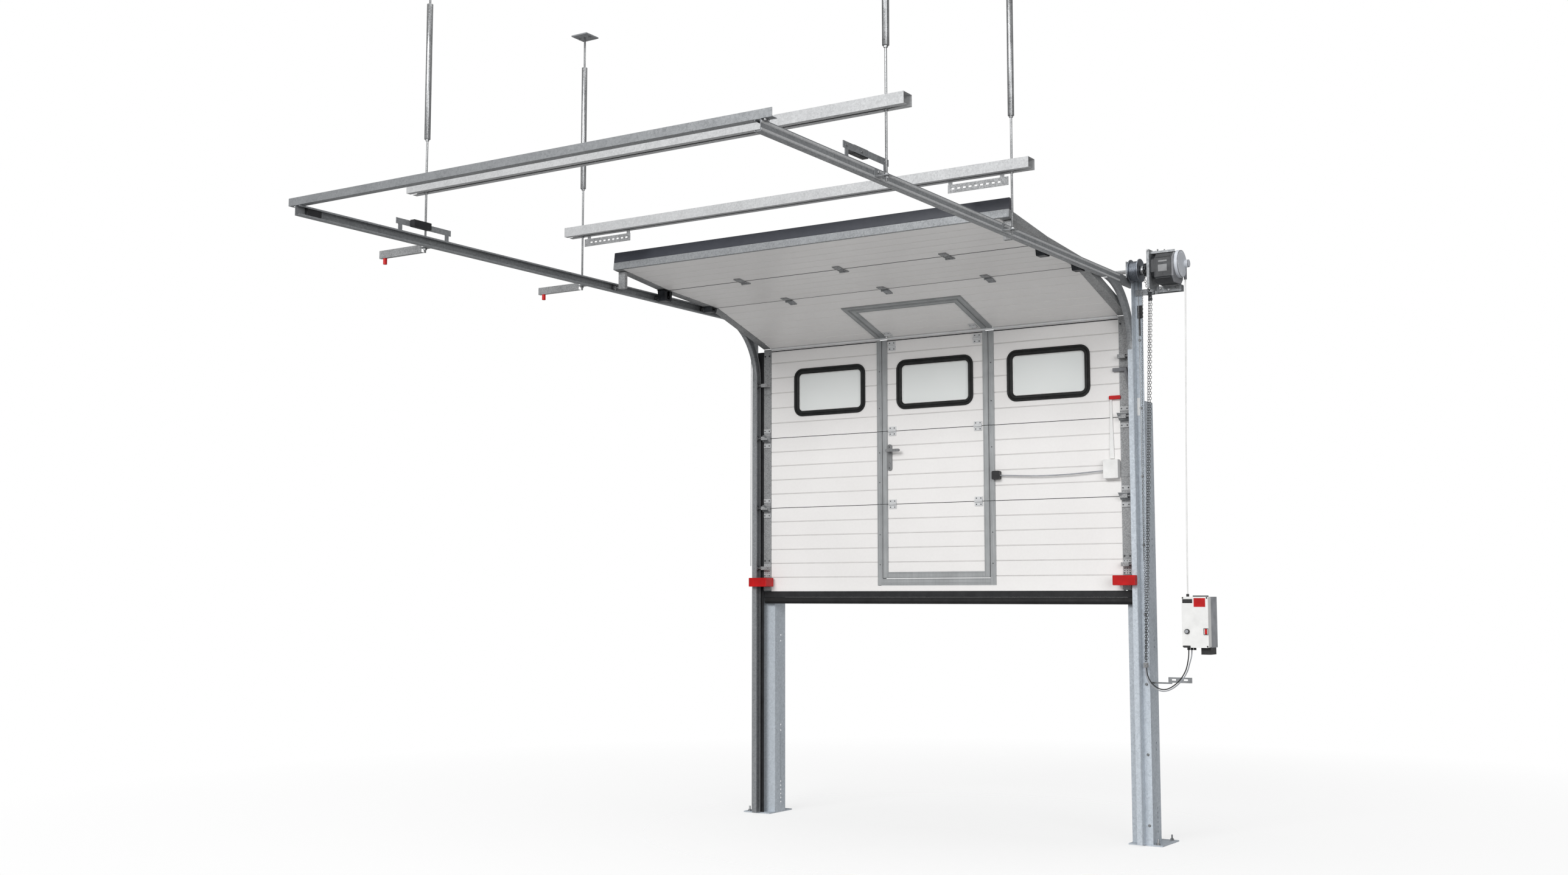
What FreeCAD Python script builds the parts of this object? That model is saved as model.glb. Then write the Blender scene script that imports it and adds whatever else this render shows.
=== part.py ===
"""Sectional industrial door with a wicket door and a shaft-mounted opener, part-open.

Millimetres. Origin: floor level, middle of the opening, inner face of the leaf. +X right seen
from inside, +Y to the outside, +Z up.
"""
import FreeCAD, Part
import math
import os
import re
import Sketcher

VECTOR = FreeCAD.Vector
DOC = FreeCAD.newDocument("SectionalDoor")
SHEET = DOC.addObject("Spreadsheet::Sheet", "Sizes")

SIZES = (
    ("hair", 0.3, "running gap between separate pieces"),
    ("sheet_metal", 2, "folded steel sheet"),
    ("plate", 4, "flat steel plate"),
    ("panel_half", 1290, "half width of the foam panels"),
    ("cap_half", 1352, "half width over the end caps"),
    ("panel_thick", 42, "panel thickness"),
    ("groove_radius", 4.2, "round of a stamped rib line"),
    ("groove_deep", 2.6, "depth of a rib line"),
    ("seam", 3, "gap between two sections"),
    ("fold_gap", 16, "proud bars stop short of the fold rod"),
    ("seal_low", 1439, "underside of the floor seal"),
    ("leaf_low", 1524, "bottom of the lowest panel"),
    ("joint_one", 2102, "height of the first hinge line"),
    ("joint_two", 2592, "height of the second hinge line"),
    ("joint_three", 3227, "height of the third hinge line"),
    ("fold_out", 7.4, "fold rod, in front of the leaf's face"),
    ("fold_down", 5.5, "fold rod, below the third hinge line"),
    ("pin_radius", 7, "fold rod and hinge knuckles"),
    ("knee_out", 9.44, "fourth hinge line's pins, off section four's face"),
    ("knee_back", 1.05, "fourth hinge line's pins, short of section four's end"),
    ("knee_x", 720, "outer hinges of the top sections"),
    ("fourth_length", 689, "section four"),
    ("fourth_tilt", 73.5, "section four, degrees from upright"),
    ("fifth_length", 546, "section five"),
    ("fifth_tilt", 86.2, "section five, degrees from upright"),
    ("sixth_length", 488, "section six"),
    ("sixth_tilt", 83.2, "section six, degrees from upright"),
    ("wicket_half", 435, "outer edge of the wicket frame"),
    ("wicket_gap", 396, "gap line of the wicket leaf"),
    ("wicket_leaf", 356, "inner edge of the leaf bars"),
    ("gap_half", 2, "half the gap round the wicket leaf"),
    ("bar_proud", 6, "wicket bars stand off the panels"),
    ("sill_low", 1560, "underside of the wicket threshold"),
    ("sill_high", 1606, "top of the wicket threshold"),
    ("leaf_bar", 40, "height of the leaf's bottom bar"),
    ("head_low", 456, "wicket head bar, along section four"),
    ("head_high", 494, "top of the head bar, along section four"),
    ("window_x", 813, "centre of the outer windows"),
    ("window_z", 2901, "centre height of the windows"),
    ("window_half_x", 285, "half width of a window frame"),
    ("window_half_z", 167, "half height of a window frame"),
    ("window_corner", 65, "outer corner radius of a window frame"),
    ("window_band", 38, "width of a window frame"),
    ("window_lip", 14, "frame's overlap on the panel"),
    ("window_proud", 9, "frame stands off the panel"),
    ("pane_thick", 16, "glazing thickness"),
    ("track_x", 1402, "back of the roller tracks"),
    ("track_deep", 30, "depth of a roller track"),
    ("track_half", 27, "half width of a roller track"),
    ("track_lip", 9, "returned lips of a roller track"),
    ("track_y", -40, "middle of the upright tracks"),
    ("bend_z", 3000, "height where the tracks start to bend"),
    ("bend_radius", 415, "track bend radius at mid width"),
    ("rail_z", 3415, "middle of the overhead rails"),
    ("strip_low", 3478, "underside of the strips above the rails"),
    ("rail_top", 3442, "top of the overhead rails"),
    ("rail_rear", -4175, "rear end of the overhead rails"),
    ("rail_front", -10, "front end of the overhead rails"),
    ("post_inner", 1296, "post face towards the opening"),
    ("post_outer", 1431, "post face away from the opening"),
    ("post_front", 54, "post face towards the room"),
    ("post_back", 186, "post face towards the wall"),
    ("post_sheet", 4, "post wall"),
    ("post_top", 2690, "top of the posts"),
    ("foot_out", 1510, "outer edge of a foot plate"),
    ("foot_front", -14, "front edge of a foot plate"),
    ("foot_back", 273, "back edge of a foot plate"),
    ("foot_thick", 8, "foot plate"),
    ("anchor_hole", 14, "hole for a floor anchor"),
    ("anchor_front", 10, "front anchor"),
    ("anchor_back", 245, "back anchor"),
    ("anchor_x", 1475, "anchors"),
    ("angle_out", 1450, "outer edge of the track angle"),
    ("angle_top", 3430, "top of the track angle"),
    ("shaft_y", -100, "spring shaft"),
    ("shaft_z", 3475, "spring shaft"),
    ("shaft_radius", 12.7, "spring shaft"),
    ("drum_radius", 60, "cable drum at the cable"),
    ("drum_flange", 72, "cable drum flange"),
    ("drum_low", 1418, "inner end of a drum"),
    ("drum_high", 1482, "outer end of a drum"),
    ("spring_radius", 47, "outside of a torsion spring"),
    ("spring_bore", 38, "inside of a torsion spring"),
    ("spring_low", 160, "inner end of a spring"),
    ("spring_high", 1100, "outer end of a spring"),
    ("roller_radius", 21, "track roller"),
    ("roller_wide", 16, "track roller"),
    ("stem_radius", 5.5, "roller stem"),
    ("hanger_x", 1455, "suspension rods"),
    ("hanger_front", -1880, "front suspension"),
    ("arm_long", 326, "length of an adjuster arm"),
    ("hanger_rear", -3220, "rear suspension"),
    ("ceiling_z", 4983, "ceiling"),
    ("tube_radius", 17, "suspension tube"),
    ("thread_radius", 6, "threaded rod"),
    ("channel_low", 3711, "underside of the suspension channels"),
    ("channel_high", 3768, "top of the suspension channels"),
    ("channel_half", 40, "half depth of a suspension channel"),
    ("channel_end", 1568, "half length of a suspension channel"),
    ("operator_low", 3374, "underside of the opener"),
    ("operator_high", 3556, "top of the opener"),
    ("operator_in", 1562, "inner face of the opener"),
    ("neck_end", 1596, "end of the opener's narrow neck"),
    ("operator_mid", 1704, "joint between the opener's two shells"),
    ("collar_end", 1716, "outer face of the end plate"),
    ("neck_low", 3420, "underside of the neck"),
    ("neck_high", 3550, "top of the neck"),
    ("neck_half", 56, "half depth of the opener's neck"),
    ("end_radius", 83, "round end cover"),
    ("end_z", 3490, "middle of the end cover"),
    ("cable_x", 1735, "motor cable where it leaves the end cover"),
    ("cable_y", -28, "depth of the motor cable"),
    ("nozzle_low", 3405, "mouth of the cover's cable nozzle"),
    ("motor_z", 3409, "motor and worm axis"),
    ("operator_out", 1740, "outer face of the opener"),
    ("operator_half", 84, "half depth of the opener"),
    ("shell", 4, "wall of the opener's shells"),
    ("gear_radius", 48, "worm wheel"),
    ("chain_x", 1515, "hand chain wheel"),
    ("chain_radius", 33, "hand chain wheel at the chain"),
    ("box_in", 1690, "left side of the control box"),
    ("box_out", 1850, "right side of the control box"),
    ("box_low", 1187, "bottom of the control box"),
    ("box_high", 1487, "top of the control box"),
    ("box_front", -100, "front of the control box"),
    ("box_split", -48, "joint of the control box's two halves"),
    ("box_back", 62, "back of the control box"),
    ("knob_x", 1722, "round control knob"),
    ("knob_z", 1282, "round control knob and rocker"),
    ("knob_radius", 10.7, "round control knob"),
    ("rocker_x", 1835, "rocker switch"),
    ("rocker_half", 6.4, "half width of the rocker key"),
    ("rocker_tall", 15.4, "half height of the rocker key"),
    ("rocker_pin", 7, "rocker pin, behind the front face"),
    ("lever_z", 2459, "pass door lever"),
)
ALIASES = {alias for alias, _, _ in SIZES}
for row, (alias, value, note) in enumerate(SIZES, start=1):
    SHEET.set(f"A{row}", str(value))
    SHEET.setAlias(f"A{row}", alias)
    SHEET.set(f"B{row}", note)
DOC.recompute()


def sized(text):
    """Turns the plain size names in an expression into cells of the sheet."""
    return re.sub(r"[a-z]\w*", lambda word: "Sizes." + word[0] if word[0] in ALIASES else word[0],
                  str(text))


def bind(item, name, text):
    item.setExpression(name, sized(text))


def middle(centre, half):
    """A span of twice half about centre."""
    return f"({centre}) - ({half})", f"({centre}) + ({half})"


def box(name, x, y, z):
    item = DOC.addObject("Part::Box", name)
    for side, axis, (low, high) in zip(("Length", "Width", "Height"), "xyz", (x, y, z)):
        bind(item, side, f"({high}) - ({low})")
        bind(item, f"Placement.Base.{axis}", low)
    return item


AXIS_TURNS = {"x": (VECTOR(0, 1, 0), 90), "y": (VECTOR(1, 0, 0), -90), "z": (VECTOR(0, 0, 1), 0)}


def place(item, base):
    for axis, text in zip("xyz", base):
        bind(item, f"Placement.Base.{axis}", text)


def rod(name, along, base, length, radius):
    """A cylinder that starts at base and runs up the axis named by along."""
    item = DOC.addObject("Part::Cylinder", name)
    item.Placement = FreeCAD.Placement(VECTOR(), FreeCAD.Rotation(*AXIS_TURNS[along]))
    place(item, base)
    bind(item, "Height", length)
    bind(item, "Radius", radius)
    return item


def fuse(name, shapes):
    item = DOC.addObject("Part::MultiFuse", name)
    item.Shapes = shapes
    item.Refine = True
    return item


def group(name, shapes):
    item = DOC.addObject("Part::Compound", name)
    item.Links = shapes
    return item


def cut(name, base, tools):
    item = DOC.addObject("Part::Cut", name)
    item.Base = base
    item.Tool = tools[0] if len(tools) == 1 else group(name + "Tools", tools)
    return item


def mirror(shape):
    item = DOC.addObject("Part::Mirroring", shape.Name + "Left")
    item.Source = shape
    item.Normal = (1, 0, 0)
    return item


def both(shapes):
    """Each shape and its mirror image on the other side of the door."""
    return shapes + [mirror(shape) for shape in shapes]


def tube(name, along, base, length, radius, bore):
    outer = rod(name + "Outer", along, base, length, radius)
    inner = rod(name + "Bore", along, base, length, bore)
    return cut(name, outer, [inner])


PROFILE_TURNS = {"x": (VECTOR(1, 1, 1), 120), "y": (VECTOR(1, 0, 0), 90), "z": (VECTOR(0, 0, 1), 0)}


def outlined(name, corners):
    """A body with a closed sketch whose corners follow expressions."""
    body = DOC.addObject("PartDesign::Body", name)
    sketch = body.newObject("Sketcher::SketchObject", name + "Sketch")
    plane = next(item for item in body.Origin.OriginFeatures if item.Role == "XY_Plane")
    sketch.AttachmentSupport = [(plane, "")]
    sketch.MapMode = "FlatFace"
    count = len(corners)
    places = []
    for corner in corners:
        values = [sketch.evalExpression(sized(text)) for text in corner]
        places.append(VECTOR(*(float(getattr(value, "Value", value)) for value in values)))
    for index in range(count):
        sketch.addGeometry(Part.LineSegment(places[index], places[(index + 1) % count]))
    for index in range(count):
        sketch.addConstraint(Sketcher.Constraint("Coincident", index, 2, (index + 1) % count, 1))
    for index, (corner, point) in enumerate(zip(corners, places)):
        for kind, text, value in zip(("DistanceX", "DistanceY"), corner, point):
            number = sketch.addConstraint(Sketcher.Constraint(kind, -1, 1, index, 1, value))
            sketch.setExpression(f"Constraints[{number}]", sized(text))
    return body, sketch


def profile(name, along, corners, length, base):
    """A sketched outline padded along an axis: y-z corners along x, x-z along -y, x-y along z."""
    body, sketch = outlined(name, corners)
    pad = body.newObject("PartDesign::Pad", name + "Pad")
    pad.Profile = sketch
    bind(pad, "Length", length)
    body.Placement = FreeCAD.Placement(VECTOR(), FreeCAD.Rotation(*PROFILE_TURNS[along]))
    place(body, base)
    return body


NODES = []


def node(name, shapes, hinge=None):
    """One named sub-part. A hinge gives its y, z and tilt when it was drawn upright at the origin."""
    item = DOC.addObject("Part::Compound", "Node_" + name)
    item.Label = name
    item.Links = shapes
    if hinge:
        item.Placement = FreeCAD.Placement(VECTOR(), FreeCAD.Rotation(VECTOR(1, 0, 0), 45))
        bind(item, "Placement.Base.y", hinge[0])
        bind(item, "Placement.Base.z", hinge[1])
        bind(item, "Placement.Rotation.Angle", hinge[2])
    NODES.append(item)
    return item


# ---- Hinge lines: y, z and tilt of each leaning section --------------------------------------
FOURTH = ("0", "joint_three", "fourth_tilt")
FIFTH = ("-fourth_length * sin(fourth_tilt)",
         "joint_three + fourth_length * cos(fourth_tilt)", "fifth_tilt")
SIXTH = (f"{FIFTH[0]} - fifth_length * sin(fifth_tilt)",
         f"{FIFTH[1]} + fifth_length * cos(fifth_tilt)", "sixth_tilt")
TOP_EDGE = (f"{SIXTH[0]} - sixth_length * sin(sixth_tilt)",
            f"{SIXTH[1]} + sixth_length * cos(sixth_tilt)")
LEAF_Y = ("0", "panel_thick")
PROUD_Y = ("-bar_proud", "panel_thick + bar_proud")


def ribs(name, low, high, count):
    """Stamped lines across the inner face, evenly spaced up a section."""
    lines = []
    for index in range(1, count):
        height = f"({low}) + (({high}) - ({low})) * {index} / {count}"
        lines.append(rod(f"{name}Rib{index}", "x", ("-cap_half", "groove_deep - groove_radius", height),
                         "2 * cap_half", "groove_radius"))
    return lines


def rounded(name, centre_x, centre_z, half_x, half_z, y, radius):
    """A block along y with rounded corners."""
    depth = f"({y[1]}) - ({y[0]})"
    parts = [
        box(name + "Wide", middle(centre_x, half_x), y, middle(centre_z, f"{half_z} - ({radius})")),
        box(name + "Tall", middle(centre_x, f"{half_x} - ({radius})"), y, middle(centre_z, half_z)),
    ]
    for index, (side, level) in enumerate(((-1, -1), (1, -1), (-1, 1), (1, 1))):
        base = (f"({centre_x}) + {side} * ({half_x} - ({radius}))", y[0],
                f"({centre_z}) + {level} * ({half_z} - ({radius}))")
        parts.append(rod(f"{name}Corner{index}", "y", base, depth, radius))
    return fuse(name, parts)


def window_block(name, centre, shrink, y):
    return rounded(name, centre, "window_z", f"(window_half_x - {shrink})",
                   f"(window_half_z - {shrink})", y, f"window_corner - {shrink}")


def sections():
    """The six foam panels. The lower four are cut through by the wicket door."""
    low, high = "leaf_low + hair", "joint_one - seam / 2"
    side = ("wicket_half + hair", "panel_half")
    right = box("FirstRight", side, LEAF_Y, (low, high))
    sill = box("FirstSill", ("-wicket_half - 1", "wicket_half + 1"), LEAF_Y, (low, "sill_low - hair"))
    frame = fuse("FirstFrame", both([right]) + [sill])
    middle_x = ("-wicket_leaf + hair", "wicket_leaf - hair")
    leaf = box("FirstLeaf", middle_x, LEAF_Y, ("sill_high + leaf_bar + 2 * gap_half + hair", high))
    tools = ribs("First", "leaf_low", "joint_one", 6)
    node("section_1", [cut("FirstPanel", frame, tools), cut("FirstLeafPanel", leaf, tools)])

    low, high = "joint_one + seam / 2", "joint_two - seam / 2"
    tools = ribs("Second", "joint_one", "joint_two", 5)
    right = box("SecondRight", side, LEAF_Y, (low, high))
    leaf = box("SecondLeaf", middle_x, LEAF_Y, (low, high))
    node("section_2", [cut(part.Name + "Panel", part, tools) for part in both([right]) + [leaf]])

    low, high = "joint_two + seam / 2", "joint_three - seam / 2"
    tools = ribs("Third", "joint_two", "joint_three", 6)
    right = box("ThirdRight", side, LEAF_Y, (low, high))
    leaf = box("ThirdLeaf", middle_x, LEAF_Y, (low, high))
    for index, centre in enumerate(("-window_x", "0", "window_x")):
        tools.append(window_block(f"WindowHole{index}", centre, "window_lip", ("-5", "panel_thick + 5")))
    node("section_3", [cut(part.Name + "Panel", part, tools) for part in both([right]) + [leaf]])

    low, high = "seam", "fourth_length - seam / 2"
    tools = ribs("Fourth", "0", "fourth_length", 7)
    right = box("FourthRight", side, LEAF_Y, (low, high))
    head = box("FourthHead", ("-wicket_half - 1", "wicket_half + 1"), LEAF_Y, ("head_high + hair", high))
    frame = fuse("FourthFrame", both([right]) + [head])
    leaf = box("FourthLeaf", middle_x, LEAF_Y, (low, "head_low - leaf_bar - hair"))
    node("section_4", [cut("FourthPanel", frame, tools), cut("FourthLeafPanel", leaf, tools)], FOURTH)

    for name, label, length, count, hinge in (("Fifth", "section_5", "fifth_length", 5, FIFTH),
                                              ("Sixth", "section_6", "sixth_length", 5, SIXTH)):
        panel = box(name + "Full", ("-panel_half", "panel_half"), LEAF_Y,
                    ("seam / 2", f"{length} - seam / 2"))
        node(label, [cut(name + "Panel", panel, ribs(name, "0", length, count))], hinge)


def end_cap(name, low, high):
    """A folded sheet channel that closes a section's end, open towards the foam."""
    skin = box(name + "Skin", ("panel_half + hair", "cap_half"), ("-sheet_metal", "panel_thick"),
               (low, high))
    hollow = box(name + "Hollow", ("panel_half - 1", "cap_half - sheet_metal"),
                 ("0", "panel_thick - sheet_metal"), (f"({low}) - 1", f"({high}) + 1"))
    return cut(name, skin, [hollow])


def end_caps():
    levels = (("leaf_low", "joint_one"), ("joint_one", "joint_two"), ("joint_two", "joint_three"))
    lower = [end_cap(f"LowerCap{index}", f"{low} + seam", f"{high} - seam")
             for index, (low, high) in enumerate(levels)]
    upper = end_cap("UpperCap", "seam + 1", "fourth_length - seam")
    top = []
    for name, length, hinge in (("Fifth", "fifth_length", FIFTH), ("Sixth", "sixth_length", SIXTH)):
        pair = group(name + "Caps", both([end_cap(name + "Cap", "seam", f"{length} - seam")]))
        top.append(leaning(pair, hinge))
    return both(lower), both([upper]), top


def leaning(item, hinge):
    item.Placement = FreeCAD.Placement(VECTOR(), FreeCAD.Rotation(VECTOR(1, 0, 0), 45))
    bind(item, "Placement.Base.y", hinge[0])
    bind(item, "Placement.Base.z", hinge[1])
    bind(item, "Placement.Rotation.Angle", hinge[2])
    return item


def windows():
    frames, panes = [], []
    for index, centre in enumerate(("-window_x", "0", "window_x")):
        neck = window_block(f"Neck{index}", centre, "window_lip - hair / 3", LEAF_Y)
        inner = window_block(f"Inner{index}", centre, "window_band", ("-50", "panel_thick + 50"))
        flanges = [window_block(f"FlangeIn{index}", centre, "0", ("-window_proud", "0")),
                   window_block(f"FlangeOut{index}", centre, "0",
                                ("panel_thick", "panel_thick + window_proud"))]
        frames.append(cut(f"WindowFrame{index}", fuse(f"WindowBody{index}", flanges + [neck]), [inner]))
        panes.append(window_block(f"Pane{index}", centre, "(window_band + hair)",
                                  middle("panel_thick / 2", "pane_thick / 2")))
    node("window_frames", frames)
    node("window_panes", panes)


def wicket():
    """The pass door's outer frame and its own leaf bars, cut where the sections fold."""
    frame_x = ("wicket_gap + gap_half", "wicket_half")
    leaf_x = ("wicket_leaf", "wicket_gap - gap_half")
    levels = (("sill_low", "joint_one"), ("joint_one", "joint_two"), ("joint_two", "joint_three"))
    frame, leaf = [], []
    for index, (low, high) in enumerate(levels):
        foot = "sill_high + 2 * gap_half" if index == 0 else f"{low} + seam / 2"
        top = f"{high} - fold_gap" if index == 2 else f"{high} - seam / 2"
        frame.append(box(f"Jamb{index}", frame_x, PROUD_Y, (f"{low} + seam / 2", top)))
        leaf.append(box(f"Stile{index}", leaf_x, PROUD_Y, (foot, top)))
    sill = box("Threshold", ("-wicket_gap - gap_half + hair", "wicket_gap + gap_half - hair"), PROUD_Y,
               ("sill_low + seam / 2", "sill_high"))
    rail = box("LeafFootBar", ("-wicket_leaf + hair", "wicket_leaf - hair"), PROUD_Y,
               ("sill_high + 2 * gap_half", "sill_high + 2 * gap_half + leaf_bar"))
    node("wicket_frame", both(frame) + [sill])
    node("wicket_leaf_bars", both(leaf) + [rail])
    jamb = box("HeadJamb", frame_x, PROUD_Y, ("fold_gap", "head_low + 2 * gap_half - hair"))
    head = box("HeadBar", ("-wicket_half", "wicket_half"), PROUD_Y,
               ("head_low + 2 * gap_half", "head_high"))
    stile = box("HeadStile", leaf_x, PROUD_Y, ("fold_gap", "head_low"))
    top = box("LeafHeadBar", ("-wicket_leaf + hair", "wicket_leaf - hair"), PROUD_Y,
              ("head_low - leaf_bar", "head_low"))
    node("wicket_head", both([jamb, stile]) + [head, top], FOURTH)


def butt_hinge(name, x, z, half_wide, half_high):
    """Two screwed leaves and a knuckle that lies along the hinge line."""
    leaves = box(name + "Leaves", middle(x, half_wide), ("-bar_proud", "-hair"), middle(z, half_high))
    knuckle = rod(name + "Knuckle", "x", (f"({x}) - {half_wide}", "-bar_proud - 2", z),
                  f"2 * {half_wide}", "7")
    return fuse(name, [leaves, knuckle])


def roller_bracket(name, y, z, face):
    """A screwed plate with a bored block that holds a roller stem, y and z its axis."""
    block = box(name + "Block", ("panel_half + 6", "cap_half - 6"), (f"({y}) - 11", face),
                middle(z, 12))
    plate = box(name + "Plate", ("panel_half + 4", "cap_half - 4"), (f"({face}) - plate", face),
                middle(z, 63))
    bore = rod(name + "Bore", "x", ("panel_half - 5", y, z), "80", "stem_radius + hair")
    return cut(name, fuse(name + "Body", [block, plate]), [bore])


BEND_Y = "(track_y - bend_radius)"
ROLLERS = (
    ("bottom", "track_y", "leaf_low + 160"),
    ("first", "track_y", "joint_one"),
    ("second", "track_y", "joint_two"),
    ("third", "track_y", "bend_z - 35"),
    ("fourth", f"{FIFTH[0]} - 40", "rail_z"),
    ("fifth", SIXTH[0], "rail_z"),
    ("top", f"{TOP_EDGE[0]} + 45", "rail_z"),
)


def rollers():
    for name, y, z in ROLLERS:
        wheel = rod(name.title() + "Wheel", "x", ("track_x - sheet_metal - 4 - roller_wide", y, z),
                    "roller_wide", "roller_radius")
        stem = rod(name.title() + "Stem", "x", ("panel_half + 8", y, z),
                   "track_x - sheet_metal - 12 - panel_half", "stem_radius")
        node(f"rollers_{name}", both([fuse(name.title() + "Roller", [wheel, stem])]))


def hinge_leaf(name, x, low, high):
    return box(name, middle(x, "24"), ("-bar_proud", "-hair"), (low, high))


def top_hinges(x, index):
    """A hinge on each of the two upper lines: leaf four, leaf five and the sixth section's."""
    pin = rod(f"KneePin{index}", "x", (f"({x}) - 24", "-knee_out", "fourth_length - knee_back"), "48",
              "pin_radius")
    fourth = fuse(f"KneeLeaf{index}", [
        hinge_leaf(f"FourthLeaf{index}", x, "fourth_length - 64", "fourth_length - 5"), pin])
    fifth = [hinge_leaf(f"FifthLeaf{index}", x, "10", "66"),
             butt_hinge(f"FifthHinge{index}", x, "fifth_length - 34", "24", "30")]
    return fourth, fifth, hinge_leaf(f"SixthLeaf{index}", x, "4", "60")


def fittings():
    """End caps, hinges and roller brackets, one group for each stiff part of the leaf."""
    lower_caps, upper_caps, top_caps = end_caps()
    skin = "-sheet_metal - hair"
    lower = [roller_bracket(f"LowerBracket{index}", y, z, skin)
             for index, (_, y, z) in enumerate(ROLLERS[:4])]
    arm = profile("BentArm", "y", (("1254", "2876"), ("1330", "2876"), ("1352", "2764"),
                                   ("1368", "2764"), ("1344", "2898"), ("1254", "2898")),
                  "20", ("0", "-sheet_metal - hair", "0"))
    hinges = [butt_hinge(f"WicketHinge{index}", "318", z, "28", "30")
              for index, z in enumerate(("joint_one", "joint_two", "joint_three - 60"))]
    corner = box("CornerPlate", ("panel_half + 3", "cap_half - 6"),
                 ("-14 + hair", "-sheet_metal - hair"), ("1532", "leaf_low + 95"))
    fold_plate = box("FoldPlate", ("panel_half + 4", "cap_half - 4"), ("-plate", skin),
                     ("joint_three - 120", "joint_three - 20"))
    carrier = box("JunctionPlate", ("1288", "cap_half"), ("-6", "-sheet_metal - hair"), ("2221", "2319"))
    fold = rod("FoldRod", "x", ("-panel_half + 5", "-fold_out", "joint_three - fold_down"),
               "2 * panel_half - 10", "pin_radius")
    node("fittings_lower", lower_caps + both(lower + [corner, fold_plate] + hinges)
         + [arm, carrier, fold])

    rows = [top_hinges(x, index) for index, x in enumerate(("-knee_x", "0", "knee_x"))]
    wicket_hinges = both([butt_hinge("UpperHinge", "318", "60", "24", "30")])
    node("fittings_upper", upper_caps + wicket_hinges + [row[0] for row in rows], FOURTH)

    carriers = []
    faces = (f"{FIFTH[1]} - hair", f"{SIXTH[1]} - sheet_metal - 2", f"{TOP_EDGE[1]} - 10")
    for index, ((_, y, z), face) in enumerate(zip(ROLLERS[4:], faces)):
        web = box(f"Carrier{index}Web", ("panel_half + 6", "cap_half - 6"), middle(y, "13"),
                  ("rail_z - 12", face))
        bore = rod(f"Carrier{index}Bore", "x", ("panel_half - 5", y, z), "80", "stem_radius + hair")
        carriers.append(cut(f"Carrier{index}", web, [bore]))
    fifth = leaning(group("FifthHinges", [hinge for row in rows for hinge in row[1]]), FIFTH)
    sixth = leaning(group("SixthHinges", [row[2] for row in rows]), SIXTH)
    node("fittings_top", top_caps + both(carriers) + [fifth, sixth])


def edge_seals():
    carrier = box("BottomCarrier", ("-cap_half", "cap_half"), LEAF_Y, ("leaf_low - 40", "leaf_low"))
    neck = box("SealNeck", ("-cap_half + 4", "cap_half - 4"), ("4", "38"),
               ("seal_low + 19", "leaf_low - 40 - hair"))
    bulb = rod("SealBulb", "x", ("-cap_half + 4", "21", "seal_low + 19"), "2 * cap_half - 8", "19")
    hole = rod("SealHole", "x", ("-cap_half", "21", "seal_low + 19"), "2 * cap_half", "12")
    node("bottom_seal", [carrier, cut("FloorSeal", fuse("SealBody", [neck, bulb]), [hole])])
    strip = box("TopStrip", ("-cap_half", "cap_half"), ("-2", "panel_thick + 2"),
                ("sixth_length - seam / 2 + hair", "sixth_length + 14"))
    lip = box("TopLip", ("-cap_half", "cap_half"), ("panel_thick + 2 + hair", "panel_thick + 66"),
              ("sixth_length - 26", "sixth_length + 14"))
    node("top_seal", [strip, lip], SIXTH)


def leaf_controls():
    """Pass door furniture and the leaf's safety wiring box."""
    plate = rounded("HandlePlate", "-wicket_leaf + 18", "2415", "17", "88", ("-10", "-hair"), "16")
    node("handle_plate", [plate])
    pivot = rod("LeverHub", "y", ("-wicket_leaf + 18", "-52", "lever_z"), "42 - hair", "11")
    arm = box("LeverArm", ("-wicket_leaf + 18", "-252"), ("-52", "-39"), middle("lever_z", "9"))
    tip = rod("LeverTip", "y", ("-252", "-52", "lever_z"), "13", "9")
    node("handle_lever", [fuse("Lever", [pivot, arm, tip])])

    housing = box("JunctionHousing", ("1189", "1286"), ("-46", "-hair"), ("2213", "2330"))
    switch = rounded("Switch", "453", "2264", "27", "28", ("-36", "-bar_proud - hair"), "9")
    pad = box("SwitchPad", ("wicket_half + 2", "478"), ("-bar_proud - hair", "-hair"), ("2240", "2288"))
    node("leaf_boxes", [housing, fuse("SwitchBody", [switch, pad])])
    strip = profile("Strip", "y", (("1221", "2337"), ("1250", "2337"), ("1240", "2704"),
                                   ("1231", "2704")), "12 - hair", ("0", "-hair", "0"))
    node("cable_cover", [strip])
    flag = box("Flag", ("1222", "1298"), ("-14", "-sheet_metal - hair"), ("2704 + hair", "2728"))
    height = ("1556", "1617")
    base = box("CoverBase", ("panel_half - 28", "cap_half + 12"), ("-80", "-14"), height)
    front = box("CoverFront", ("panel_half - 28", "track_x + 6"), ("-112", "track_y - track_half - 3"),
                height)
    node("red_covers", both([fuse("CatchCover", [base, front])]) + [flag])


def track_shape():
    """The roller track's section in x and its other direction, opening towards the leaf."""
    web, front = "track_x", "track_x - track_deep"
    half, lip, wall = "track_half", "track_half - track_lip", "sheet_metal"
    return ((web, f"-{half}"), (web, half), (front, half), (front, lip),
            (f"{front} + {wall}", lip), (f"{front} + {wall}", f"{half} - {wall}"),
            (f"{web} - {wall}", f"{half} - {wall}"), (f"{web} - {wall}", f"-{half} + {wall}"),
            (f"{front} + {wall}", f"-{half} + {wall}"), (f"{front} + {wall}", f"-({lip})"),
            (front, f"-({lip})"), (front, f"-{half}"))


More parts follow.
